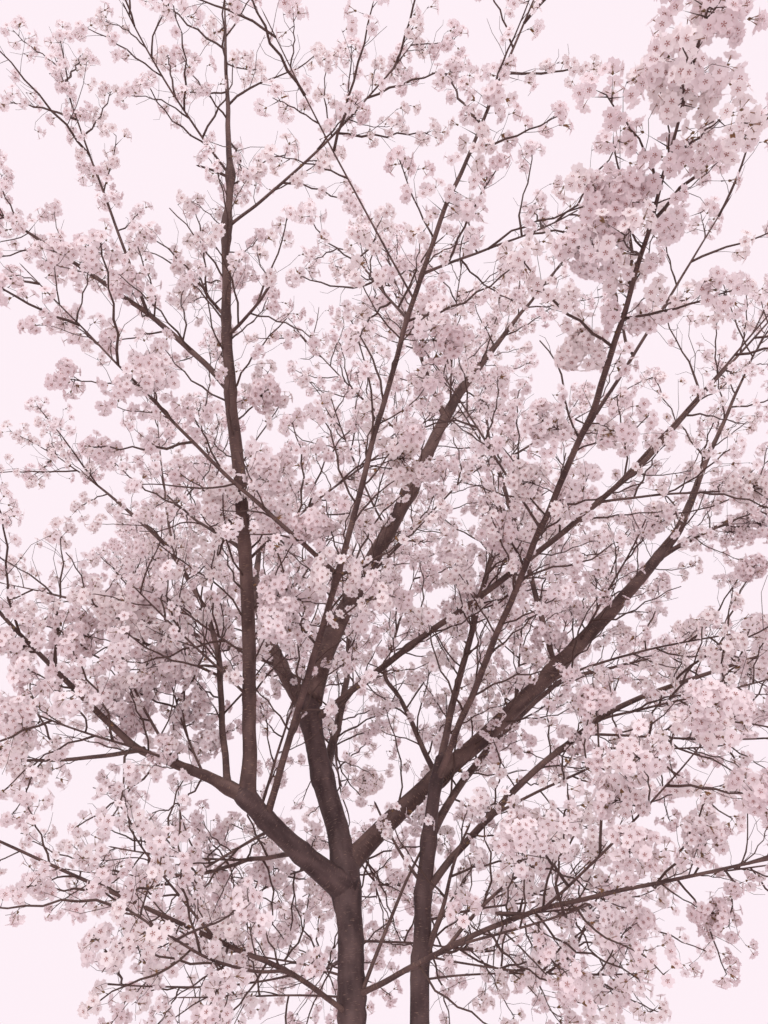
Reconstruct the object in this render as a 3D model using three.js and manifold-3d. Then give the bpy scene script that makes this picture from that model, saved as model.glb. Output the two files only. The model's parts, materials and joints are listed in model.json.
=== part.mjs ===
// A flowering cherry tree: a low-forked trunk, its main boughs, and the masses of
// blossom that they carry. Millimetres, +Z up, origin at the centre of the flat cut
// at ground level. +X is to the right and +Y away from a person who looks at it.
//
// Headings are compass-like angles in the ground plane: 0 is +X and 90 is +Y.
// A rise is the angle above the level. Both may be a list of values, which are then
// spread evenly along the limb, so that a limb is an arc with a few turns in it.

import * as THREE from "three";
import { mergeVertices } from "three/addons/utils/BufferGeometryUtils.js";
import Module from "manifold-3d";

const wasm = await Module();
wasm.setup();

// Driving dimensions

const TREE_HEIGHT = 6200;
const CROWN_RADIUS = 2600;
const WIDEST_HEIGHT = 3700;
const CROWN_FOOT = 1750;
const CROWN_SLACK = 120;
const CROWN_ROUNDNESS = 2.4;

const TRUNK = { length: 2930, thick: [128, 84], heading: [168], rise: [90, 90, 90, 90, 86, 72, 80] };
const FLARE = { extra: 36, height: 210, lobes: 5, depth: 0.16, rings: [0, 50, 130, 235, 380] };

const JOINT_GAP = 0.3;
const CUT_MARGIN = 1.4 * JOINT_GAP;
const AIR_GAP = 4;

// Fineness of the solids

const TRUNK_SIDES = 14;
const BOUGH_SIDES = 7;
const THIN_SIDES = 6;
const THIN_BOUGH = 34;
const TWIG_SIDES = 3;
const RING_SPACING = 210;
const STEM_SPACING = 330;

// How a mass of blossom grows along its stem

const MASS = {
  stemStarts: [0.99, 0.88],
  firstTwig: 0.16,
  twigSpacing: 92,
  twigReach: 0.56,
  tipShortening: 0.45,
  shortTwig: 0.55,
  leastTwig: 50,
  trim: 0.85,
  twigAngle: 56,
  tipClosing: 0.35,
  angleSpread: 10,
  stemRadius: [14, 10, 7.5],
  twigRadius: [4.2, 3.2],
  clusterRadius: 108,
  clusterSquash: [1, 0.92, 0.84],
  endCluster: 60,
  goldenTurn: 137.5,
  sampleStep: 40,
};

const FIRST_SEED = 1000;
const DEG = Math.PI / 180;

// The main limbs. A limb leaves its parent's centre line at the share `at` of the
// parent's length. Lengths and thicknesses are in millimetres.

const BOUGHS = [
  { name: "second_stem", from: "trunk", at: 0.11, length: 2330, thick: [92, 80, 72, 48],
    heading: [22, 22, 10, -75, -70, -55], rise: [55, 80, 88, 85, 74, 66] },
  { name: "left_bough", from: "trunk", at: 0.72, length: 590, thick: [88, 66],
    heading: [219, 225], rise: [24, 32] },
  { name: "right_bough", from: "trunk", at: 0.745, length: 2300, thick: [74, 74, 66, 50],
    heading: [18, 8, 1, -3, -6], rise: [48, 40, 44, 45, 52] },
  { name: "left_leader", from: "left_bough", at: 0.9, length: 2500, thick: [48, 47, 46, 38, 28],
    heading: [274, 262, 264, 256, 260, 260, 266], rise: [72, 68, 59, 58, 65, 74, 79] },
  { name: "left_reach", from: "left_bough", at: 0.93, length: 450, thick: [50, 34],
    heading: [187, 193], rise: [24, 18] },
  { name: "left_riser", from: "left_reach", at: 0.14, length: 1550, thick: [34, 28],
    heading: [125, 118, 150, 163], rise: [66, 68, 57, 50] },
  { name: "front_bough", from: "left_bough", at: 0.72, length: 2150, thick: [34, 30, 24, 20],
    heading: [294, 290, 290, 293, 295, 297], rise: [48, 34, 38, 50, 47, 44] },
  { name: "front_left_bough", from: "front_bough", at: 0.45, length: 520, thick: [22, 18],
    heading: [192, 206], rise: [42, 34] },
  { name: "upper_left_bough", from: "left_leader", at: 0.6, length: 560, thick: [32, 27],
    heading: [192, 190], rise: [50, 36] },
  { name: "centre_right_bough", from: "trunk", at: 0.985, length: 2300, thick: [80, 72, 56],
    heading: [49, 38, 25, 15, 5], rise: [74, 64, 66, 69, 64] },
  { name: "centre_left_bough", from: "trunk", at: 0.96, length: 1200, thick: [70, 54],
    heading: [141, 119, 114], rise: [52, 52, 58] },
  { name: "cross_bough", from: "trunk", at: 0.95, length: 1750, thick: [38, 33, 29],
    heading: [331, 327, 331, 336, 340], rise: [30, 23, 25, 32, 38] },
  { name: "inner_riser", from: "right_bough", at: 0.23, length: 800, thick: [32, 26],
    heading: [124, 112, 120], rise: [58, 53, 50] },
  { name: "tall_riser", from: "right_bough", at: 0.55, length: 1600, thick: [38, 30],
    heading: [111, 106, 115, 121], rise: [79, 76, 75, 76] },
  { name: "stem_bough", from: "second_stem", at: 0.97, length: 950, thick: [38, 32],
    heading: [19, 19, 30], rise: [76, 73, 72] },
  { name: "near_bough", from: "second_stem", at: 0.95, length: 1650, thick: [34, 27],
    heading: [298, 295, 290, 283, 280], rise: [44, 38, 32, 18, 9] },
  { name: "low_fork_bough", from: "second_stem", at: 0.78, length: 1050, thick: [38, 28],
    heading: [338, 344, 346], rise: [46, 39, 28] },
  { name: "low_right_bough", from: "trunk", at: 0.6, length: 880, thick: [28, 20],
    heading: [322, 328, 334], rise: [16, 19, 8] },
  { name: "low_left_bough", from: "trunk", at: 0.58, length: 850, thick: [26, 18],
    heading: [228, 217, 217], rise: [25, 16, 15] },
  { name: "back_low_bough", from: "left_bough", at: 0.4, length: 750, thick: [26, 18],
    heading: [124, 135], rise: [8, -2] },
  { name: "back_left_bough", from: "centre_left_bough", at: 0.32, length: 1200, thick: [38, 28],
    heading: [168, 156, 146], rise: [26, 24, 26] },
  { name: "back_middle_bough", from: "trunk", at: 0.87, length: 1500, thick: [50, 32],
    heading: [80, 88, 96], rise: [50, 46, 50] },
  { name: "back_right_bough", from: "second_stem", at: 0.86, length: 1500, thick: [42, 30],
    heading: [54, 46, 40], rise: [50, 40, 36] },
];

// The masses of blossom. Each has one stem that goes on from a bough's end.

const MASSES = [
  { name: "leader_top", from: "left_leader", length: 1300, heading: [240, 232, 239], rise: [79, 80, 82] },
  { name: "leader_right", from: "left_leader", length: 1150, heading: [335, 332, 328], rise: [26, 39, 50] },
  { name: "upper_left", from: "upper_left_bough", length: 1150, heading: [198, 196], rise: [32, 26] },
  { name: "upper_shoot", from: "upper_left_bough", length: 1350, heading: [222, 218], rise: [60, 62] },
  { name: "left_high", from: "left_reach", length: 1200, heading: [213, 226], rise: [33, 34] },
  { name: "left_low", from: "left_reach", length: 1150, heading: [152, 168], rise: [0, 14] },
  { name: "riser_side", from: "left_riser", length: 1150, heading: [165, 168], rise: [46, 36] },
  { name: "riser_top", from: "left_riser", length: 1200, heading: [140, 150], rise: [68, 76] },
  { name: "front_left", from: "front_left_bough", length: 950, heading: [210, 222], rise: [36, 28] },
  { name: "front_top", from: "front_bough", length: 1150, heading: [312, 315], rise: [56, 58] },
  { name: "front_low", from: "front_bough", length: 950, heading: [232, 236], rise: [34, 36] },
  { name: "centre_top", from: "centre_right_bough", length: 1350, heading: [352, 350], rise: [56, 54] },
  { name: "centre_crest", from: "centre_right_bough", length: 1300, heading: [215, 225], rise: [66, 72] },
  { name: "centre_back", from: "centre_left_bough", length: 1250, heading: [100, 92], rise: [56, 62] },
  { name: "centre_left_top", from: "centre_left_bough", length: 1500, heading: [170, 178], rise: [66, 74] },
  { name: "cross_top", from: "cross_bough", length: 1150, heading: [344, 340], rise: [46, 42] },
  { name: "cross_front", from: "cross_bough", length: 1050, heading: [312, 306], rise: [24, 26] },
  { name: "right_top", from: "right_bough", length: 1400, heading: [343, 344], rise: [62, 58] },
  { name: "right_side", from: "right_bough", length: 1100, heading: [8, 2], rise: [34, 22] },
  { name: "inner", from: "inner_riser", length: 1050, heading: [70, 62], rise: [62, 58] },
  { name: "tall_top", from: "tall_riser", length: 1250, heading: [84, 72], rise: [66, 70] },
  { name: "tall_right", from: "tall_riser", length: 1100, heading: [20, 10], rise: [42, 38] },
  { name: "stem", from: "stem_bough", length: 1000, heading: [50, 45], rise: [62, 58] },
  { name: "near_front", from: "near_bough", length: 1150, heading: [274, 268], rise: [10, 2] },
  { name: "near_up", from: "near_bough", length: 950, heading: [318, 322], rise: [44, 48] },
  { name: "fork_side", from: "low_fork_bough", length: 1200, heading: [350, 354], rise: [18, 12] },
  { name: "low_right", from: "low_right_bough", length: 1200, heading: [340, 342], rise: [8, 8] },
  { name: "low_front", from: "low_right_bough", length: 950, heading: [298, 292], rise: [18, 22] },
  { name: "low_left", from: "low_left_bough", length: 1000, heading: [214, 208], rise: [16, 18] },
  { name: "back_low", from: "back_low_bough", length: 1050, heading: [140, 146], rise: [4, 12] },
  { name: "back_left_side", from: "back_left_bough", length: 1050, heading: [152, 156], rise: [26, 20] },
  { name: "back_left_top", from: "back_left_bough", length: 1100, heading: [108, 104], rise: [54, 56] },
  { name: "back_middle", from: "back_middle_bough", length: 1000, heading: [112, 116], rise: [26, 18] },
  { name: "back_middle_top", from: "back_middle_bough", length: 1150, heading: [66, 62], rise: [58, 62] },
  { name: "back_right_side", from: "back_right_bough", length: 1150, heading: [24, 18], rise: [22, 14] },
  { name: "back_right_top", from: "back_right_bough", length: 1150, heading: [66, 62], rise: [46, 50] },
];

// Numbers and directions

// Repeatable random numbers between 0 and 1.
function makeRandom(seed) {
  let state = seed >>> 0;
  return () => {
    state = (Math.imul(state, 1664525) + 1013904223) >>> 0;
    return state / 2 ** 32;
  };
}

// The value at the share t of a list whose values are spread evenly.
function valueAlong(values, t) {
  const last = values.length - 1;
  const place = Math.min(Math.max(t, 0), 1) * last;
  const lower = Math.min(Math.floor(place), Math.max(last - 1, 0));
  const upper = Math.min(lower + 1, last);
  return values[lower] + (values[upper] - values[lower]) * (place - lower);
}

function direction(heading, rise) {
  return new THREE.Vector3(
    Math.cos(heading * DEG) * Math.cos(rise * DEG),
    Math.sin(heading * DEG) * Math.cos(rise * DEG),
    Math.sin(rise * DEG),
  );
}

// The crown is a rounded form. This is its radius at a height.
function crownRadius(height) {
  const half = height > WIDEST_HEIGHT ? TREE_HEIGHT - WIDEST_HEIGHT : WIDEST_HEIGHT - CROWN_FOOT;
  const share = Math.min(Math.abs(height - WIDEST_HEIGHT) / half, 1);
  return CROWN_RADIUS * Math.sqrt(1 - share ** CROWN_ROUNDNESS);
}

function insideCrown(point, margin) {
  const radius = Math.hypot(point.x, point.y);
  return point.z + margin < TREE_HEIGHT && radius + margin < crownRadius(point.z) + CROWN_SLACK;
}

// Centre lines

// Walks a limb's centre line from its start, turning as its lists say.
function growLine(start, shape, spacing) {
  const steps = Math.max(3, Math.ceil(shape.length / spacing));
  const points = [start.clone()];
  for (let i = 0; i < steps; i += 1) {
    const t = (i + 0.5) / steps;
    const along = direction(valueAlong(shape.heading, t), valueAlong(shape.rise, t));
    points.push(points[i].clone().addScaledVector(along, shape.length / steps));
  }
  return points;
}

function pointOnLine(line, share) {
  const place = share * (line.length - 1);
  const lower = Math.min(Math.floor(place), line.length - 2);
  return line[lower].clone().lerp(line[lower + 1], place - lower);
}

function directionOnLine(line, share) {
  const lower = Math.min(Math.floor(share * (line.length - 1)), line.length - 2);
  return line[lower + 1].clone().sub(line[lower]).normalize();
}

function nearestOnLine(line, point) {
  let best = { distance: Infinity, share: 0 };
  const segment = new THREE.Line3();
  const foot = new THREE.Vector3();
  for (let i = 0; i < line.length - 1; i += 1) {
    segment.set(line[i], line[i + 1]);
    const t = segment.closestPointToPointParameter(point, true);
    const distance = segment.at(t, foot).distanceTo(point);
    if (distance < best.distance) best = { distance, share: (i + t) / (line.length - 1) };
  }
  return best;
}

// Solids

// Side and across directions of each ring, carried along without twisting.
function ringFrames(line) {
  const first = line[1].clone().sub(line[0]).normalize();
  let side = Math.abs(first.x) < 0.9 ? new THREE.Vector3(1, 0, 0) : new THREE.Vector3(0, 1, 0);
  return line.map((point, i) => {
    const before = line[Math.max(i - 1, 0)];
    const after = line[Math.min(i + 1, line.length - 1)];
    const along = after.clone().sub(before).normalize();
    side = side.clone().addScaledVector(along, -side.dot(along)).normalize();
    return { side, across: new THREE.Vector3().crossVectors(side, along) };
  });
}

// A limb is a closed cylinder whose rings are carried to the centre line. The radius
// is a function of the ring and of the angle round it.
function limbGeometry(line, sides, radiusAt) {
  const rings = line.length - 1;
  const geometry = new THREE.CylinderGeometry(1, 1, 1, sides, rings);
  geometry.deleteAttribute("normal");
  geometry.deleteAttribute("uv");
  const frames = ringFrames(line);
  const position = geometry.attributes.position;
  for (let i = 0; i < position.count; i += 1) {
    const ring = Math.round((position.getY(i) + 0.5) * rings);
    const x = position.getX(i);
    const z = position.getZ(i);
    const radius = radiusAt(ring / rings, Math.atan2(z, x));
    const { side, across } = frames[ring];
    const place = line[ring].clone().addScaledVector(side, x * radius).addScaledVector(across, z * radius);
    position.setXYZ(i, place.x, place.y, place.z);
  }
  return mergeVertices(geometry, 0.01);
}

function toSolid(geometry) {
  const vertProperties = new Float32Array(geometry.attributes.position.array);
  const triVerts = new Uint32Array(geometry.index.array);
  return new wasm.Manifold(new wasm.Mesh({ numProp: 3, vertProperties, triVerts }));
}

function toGeometry(solid) {
  const mesh = solid.getMesh();
  const geometry = new THREE.BufferGeometry();
  geometry.setAttribute("position", new THREE.BufferAttribute(new Float32Array(mesh.vertProperties), 3));
  geometry.setIndex(new THREE.BufferAttribute(new Uint32Array(mesh.triVerts), 1));
  return geometry;
}

// Drops the loose scraps that a cut can leave, and keeps the limb itself.
function largestPiece(solid) {
  return solid.decompose().reduce((best, piece) => (piece.volume() > best.volume() ? piece : best));
}

function limbSolid(limb) {
  return toSolid(limbGeometry(limb.line, limb.sides, limb.radiusAt));
}

// The same limb, larger all round by a little more than the gap: it cuts the gap free.
function cutterSolid(limb) {
  const line = limb.line.map((point) => point.clone());
  const last = line.length - 1;
  line[last].addScaledVector(directionOnLine(limb.line, 1), CUT_MARGIN);
  line[0].addScaledVector(directionOnLine(limb.line, 0), -CUT_MARGIN);
  return toSolid(limbGeometry(line, limb.sides, (t, angle) => limb.radiusAt(t, angle) + CUT_MARGIN));
}

// Limbs

// The trunk widens towards the ground in a few lobes, as roots begin there.
function trunkRadius(height, angle) {
  const fade = Math.exp(-height / FLARE.height);
  const lobes = 1 + FLARE.depth * fade * Math.cos(FLARE.lobes * angle);
  return (valueAlong(TRUNK.thick, height / TRUNK.length) / 2 + FLARE.extra * fade) * lobes;
}

// The trunk has closer rings in its flare than above it.
function makeTrunk() {
  const even = growLine(new THREE.Vector3(), TRUNK, RING_SPACING);
  const spacing = TRUNK.length / (even.length - 1);
  const top = FLARE.rings[FLARE.rings.length - 1];
  const upper = even.map((point, i) => i * spacing).filter((height) => height > top + spacing / 2);
  const heights = [...FLARE.rings, ...upper];
  const line = heights.map((height) => pointOnLine(even, height / TRUNK.length));
  const radiusAt = (t, angle) => trunkRadius(valueAlong(heights, t), angle);
  return { name: "trunk", line, even, sides: TRUNK_SIDES, radiusAt };
}

function makeBough(shape, parent) {
  const line = growLine(pointOnLine(parent.even ?? parent.line, shape.at), shape, RING_SPACING);
  const sides = shape.thick[0] < THIN_BOUGH ? THIN_SIDES : BOUGH_SIDES;
  return { ...shape, line, sides, radiusAt: (t) => valueAlong(shape.thick, t) / 2 };
}

const limbs = new Map([["trunk", makeTrunk()]]);
for (const shape of BOUGHS) limbs.set(shape.name, makeBough(shape, limbs.get(shape.from)));

// Limbs that leave the same parent, or a parent and what leaves it, can meet.
function canMeet(limb, other) {
  const grandparent = limbs.get(limb.from)?.from;
  return other.name === limb.from || other.from === limb.from || other.name === grandparent;
}

// Each limb is cut back, by the gap, from those before it that it can meet.
function limbPieces() {
  const pieces = new Map();
  for (const limb of limbs.values()) {
    const earlier = [...pieces.keys()].map((name) => limbs.get(name)).filter((other) => canMeet(limb, other));
    const cut = earlier.reduce((solid, other) => solid.subtract(cutterSolid(other)), limbSolid(limb));
    pieces.set(limb.name, largestPiece(cut));
  }
  return pieces;
}

// Masses of blossom

// A bough's first mass goes on from its tip, and its second leaves it just below.
function makeStem(shape, index) {
  const parent = limbs.get(shape.from);
  const before = MASSES.slice(0, index).filter((other) => other.from === shape.from).length;
  const start = pointOnLine(parent.line, MASS.stemStarts[before]);
  const radiusAt = (t) => valueAlong(MASS.stemRadius, t);
  return { ...shape, line: growLine(start, shape, STEM_SPACING), sides: TWIG_SIDES, radiusAt };
}

const stems = MASSES.map(makeStem);

// How far a point is inside the space of its own mass: half the difference between its
// distance from the nearest other stem and from its own.
function roomInMass(stem, point) {
  const own = nearestOnLine(stem.line, point).distance;
  const others = stems.filter((other) => other !== stem);
  return (Math.min(...others.map((other) => nearestOnLine(other.line, point).distance)) - own) / 2;
}

function clearOfLimbs(point, radius) {
  return [...limbs.values()].every((limb) => {
    const { distance, share } = nearestOnLine(limb.line, point);
    return distance > limb.radiusAt(share, 0) * (1 + FLARE.depth) + radius + AIR_GAP;
  });
}

function twigIsClear(stem, root, end) {
  const [radius] = MASS.twigRadius;
  const samples = Math.ceil(root.distanceTo(end) / MASS.sampleStep);
  for (let i = 1; i <= samples; i += 1) {
    const point = root.clone().lerp(end, i / samples);
    if (roomInMass(stem, point) < radius + AIR_GAP || !clearOfLimbs(point, radius)) return false;
  }
  return true;
}

// A cluster keeps to its mass's space, off the stem and apart from the others.
function clusterFits(stem, clusters, point, radius, atTip) {
  const apart = clusters.every((other) => other.point.distanceTo(point) > radius + other.radius);
  const besideStem = atTip || nearestOnLine(stem.line, point).distance > radius;
  const inSpace = insideCrown(point, radius) && roomInMass(stem, point) > radius + AIR_GAP;
  return apart && besideStem && inSpace && clearOfLimbs(point, radius);
}

// The direction of a twig that leaves a stem at an angle, turned round it.
function twigDirection(along, angle, turn) {
  const level = Math.abs(along.z) < 0.95 ? new THREE.Vector3(0, 0, 1) : new THREE.Vector3(1, 0, 0);
  const swing = new THREE.Vector3().crossVectors(along, level).normalize().applyAxisAngle(along, turn * DEG);
  return along.clone().multiplyScalar(Math.cos(angle * DEG)).addScaledVector(swing, Math.sin(angle * DEG));
}

// Twigs leave the stem in a spiral, long and short by turns. Each is trimmed until it
// and the cluster at its end fit, and is left out where none does.
function growTwigs(stem, random) {
  const twigs = [];
  const clusters = [];
  const count = Math.round((stem.length * (1 - MASS.firstTwig)) / MASS.twigSpacing);
  let turn = random() * 360;
  for (let i = 0; i <= count; i += 1) {
    const atTip = i === count;
    const share = MASS.firstTwig + ((1 - MASS.firstTwig) * i) / count;
    const root = pointOnLine(stem.line, share);
    const along = directionOnLine(stem.line, share);
    turn += MASS.goldenTurn;
    const angle = MASS.twigAngle * (1 - MASS.tipClosing * share) + MASS.angleSpread * (random() - 0.5);
    const out = atTip ? along : twigDirection(along, angle, turn);
    const order = i % 2 === 0 ? 1 : MASS.shortTwig;
    const full = stem.length * MASS.twigReach * (1 - MASS.tipShortening * share) * order;
    const radius = MASS.clusterRadius * (0.8 + 0.4 * random());
    for (let length = atTip ? MASS.endCluster : full; length > MASS.leastTwig; length *= MASS.trim) {
      const end = root.clone().addScaledVector(out, length);
      if (!twigIsClear(stem, root, end) || !clusterFits(stem, clusters, end, radius, atTip)) continue;
      twigs.push([root, end]);
      clusters.push({ point: end, radius });
      break;
    }
  }
  return { twigs, clusters };
}

// A cluster of blossom is a squat eight-faced form, turned at random.
function clusterSolid(point, radius, random) {
  const geometry = new THREE.OctahedronGeometry(radius, 0);
  geometry.deleteAttribute("normal");
  geometry.deleteAttribute("uv");
  const euler = new THREE.Euler(random() * Math.PI, random() * Math.PI, random() * Math.PI);
  const turn = new THREE.Quaternion().setFromEuler(euler);
  const squash = new THREE.Vector3(...MASS.clusterSquash);
  geometry.applyMatrix4(new THREE.Matrix4().compose(point, turn, squash));
  return toSolid(mergeVertices(geometry, 0.01));
}

function twigSolid(line) {
  return toSolid(limbGeometry(line, TWIG_SIDES, (t) => valueAlong(MASS.twigRadius, t)));
}

function massSolid(stem, index) {
  const random = makeRandom(FIRST_SEED + index);
  const { twigs, clusters } = growTwigs(stem, random);
  const withTwigs = twigs.reduce((solid, line) => solid.add(twigSolid(line)), limbSolid(stem));
  const whole = clusters.reduce(
    (solid, cluster) => solid.add(clusterSolid(cluster.point, cluster.radius, random)),
    withTwigs,
  );
  return largestPiece(whole.subtract(cutterSolid(limbs.get(stem.from))));
}

// Materials

function barkMaterial() {
  return new THREE.MeshStandardMaterial({ color: 0x4a3936, roughness: 0.85, metalness: 0 });
}

function blossomMaterial() {
  return new THREE.MeshStandardMaterial({ color: 0xf1dde2, roughness: 0.7, metalness: 0 });
}

// The tree

const tree = new THREE.Group();

function addNode(name, solid, material) {
  const mesh = new THREE.Mesh(toGeometry(solid), material);
  mesh.name = name;
  tree.add(mesh);
}

for (const [name, solid] of limbPieces()) addNode(name, solid, barkMaterial());
stems.forEach((stem, index) => addNode(`${stem.name}_mass`, massSolid(stem, index), blossomMaterial()));

export default tree;
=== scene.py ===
# %% [markdown]
# # A cherry tree in full blossom
# The tree forks low, and its boughs rise into an open, rounded crown. The limbs carry
# twigs, the twigs carry short spurs, and each spur ends in an umbel: a bunch of flowers on
# stalks that spring from one point. This lesson grows all of it from a few short tables.
# Each step works out whole arrays with numpy and turns them into a mesh.

# %% Load the frame
import json
import math
import bpy
import numpy as np
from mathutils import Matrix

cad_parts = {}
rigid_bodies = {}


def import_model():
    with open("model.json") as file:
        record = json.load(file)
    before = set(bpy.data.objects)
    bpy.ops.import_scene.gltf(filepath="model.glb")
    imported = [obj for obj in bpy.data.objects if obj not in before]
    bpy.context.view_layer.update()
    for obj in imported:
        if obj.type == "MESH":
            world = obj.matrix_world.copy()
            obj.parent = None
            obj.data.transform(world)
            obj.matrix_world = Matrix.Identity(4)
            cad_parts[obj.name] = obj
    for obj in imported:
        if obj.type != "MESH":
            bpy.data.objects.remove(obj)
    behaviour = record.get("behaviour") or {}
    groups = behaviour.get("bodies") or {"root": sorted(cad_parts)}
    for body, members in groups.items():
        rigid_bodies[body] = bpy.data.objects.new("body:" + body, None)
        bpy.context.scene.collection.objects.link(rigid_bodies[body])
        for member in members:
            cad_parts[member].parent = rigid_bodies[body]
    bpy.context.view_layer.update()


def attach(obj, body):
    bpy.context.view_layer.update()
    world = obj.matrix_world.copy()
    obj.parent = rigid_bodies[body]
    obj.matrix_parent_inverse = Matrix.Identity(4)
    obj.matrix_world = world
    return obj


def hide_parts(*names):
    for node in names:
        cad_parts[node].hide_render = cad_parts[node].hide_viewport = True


for start_up_object in list(bpy.data.objects):
    bpy.data.objects.remove(start_up_object)
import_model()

# %% [markdown]
# ## The camera
# A person stands close to the tree and looks up into it. A wide lens takes in the crown
# from the first fork to the sky. Its place was found from the flowers: they are about
# 35 mm across, so their size in the picture tells how far away they are.

# %% Camera
CAMERA_PLACE = (0.105, -3.4, 1.5)
CAMERA_RISE = 34
LENS_MM = 30
SENSOR_MM = 36
PICTURE_HEIGHT = 1024
FOCAL_PIXELS = LENS_MM / SENSOR_MM * PICTURE_HEIGHT

camera_data = bpy.data.cameras.new("camera")
camera_data.lens = LENS_MM
camera_data.sensor_width = SENSOR_MM
camera = bpy.data.objects.new("camera", camera_data)
camera.location = CAMERA_PLACE
camera.rotation_euler = (math.radians(90 + CAMERA_RISE), 0, 0)
scene = bpy.context.scene
scene.collection.objects.link(camera)
scene.camera = camera
print("camera at", CAMERA_PLACE, "looking up", CAMERA_RISE, "degrees")

# %% [markdown]
# ## Materials from nodes
# Every material is a few linked nodes. One helper sets the inputs of a node, and another
# makes a Principled material with it. The first one made is the floor's.

# %% Material helpers
FLOOR = {"Base Color": (0.75, 0.70, 0.71, 1), "Roughness": 0.9}


def set_inputs(tree, node, values):
    """Sets each input of a node, by name or number, to a value, or links it to another node's output."""
    for key, value in values.items():
        if isinstance(value, bpy.types.NodeSocket):
            tree.links.new(value, node.inputs[key])
        else:
            node.inputs[key].default_value = value
    return node


def shader(name, values):
    """A new Principled material, with its node tree and its shader node."""
    material = bpy.data.materials.new(name)
    material.use_nodes = True
    tree = material.node_tree
    return material, tree, set_inputs(tree, tree.nodes["Principled BSDF"], values)


floor_material, _, _ = shader("pale_floor", FLOOR)
print("material", floor_material.name)

# %% [markdown]
# ## Sky, floor and light
# The day is overcast, so the whole sky is one pale pink-white lamp. A pale floor throws some
# of its light back up, which keeps the undersides of the blossom from going dark. Two very
# soft suns in front add a little form: a sun lights every place alike, so the floor has no
# bright patch.

# %% Sky, floor and light
SKY_COLOUR = (0.991, 0.874, 0.934, 1)
FLOOR_SIZE = 500
SUNS = {
    "key_lamp": {"strength": 0.80, "softness": 35, "tilt": 62, "turn": -31},
    "fill_lamp": {"strength": 0.95, "softness": 50, "tilt": 82, "turn": 9},
}

scene.view_settings.view_transform = "Standard"
world = bpy.data.worlds.new("overcast_sky")
world.use_nodes = True
world.node_tree.nodes["Background"].inputs["Color"].default_value = SKY_COLOUR
scene.world = world

bpy.ops.mesh.primitive_plane_add(size=FLOOR_SIZE)
floor = bpy.context.object
floor.name = "floor"
floor.data.materials.append(floor_material)

for name, sun in SUNS.items():
    lamp_data = bpy.data.lights.new(name, "SUN")
    lamp_data.energy = sun["strength"]
    lamp_data.angle = math.radians(sun["softness"])
    lamp = bpy.data.objects.new(name, lamp_data)
    lamp.rotation_euler = (math.radians(sun["tilt"]), 0, math.radians(sun["turn"]))
    scene.collection.objects.link(lamp)
print("sky, floor and", len(SUNS), "soft lamps")

# %% [markdown]
# ## The boughs in one table
# Each limb leaves its parent at a share of the parent's length. Its row then gives its
# length in metres, its thicknesses in millimetres, and two lists of angles in degrees: the
# heading in the ground plane and the rise above the level. That is enough for a limb with a
# few natural turns, and it stays readable.

# %% Trunk and boughs
FLARE = {"extra": 0.036, "height": 0.21, "lobes": 5, "depth": 0.16}


def limb(parent, at, length, thick, heading, rise):
    """One row of a table of limbs, with its thicknesses turned from millimetres into metres."""
    thick = [size / 1000 for size in thick]
    return {"parent": parent, "at": at, "length": length, "thick": thick, "heading": heading, "rise": rise}


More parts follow.
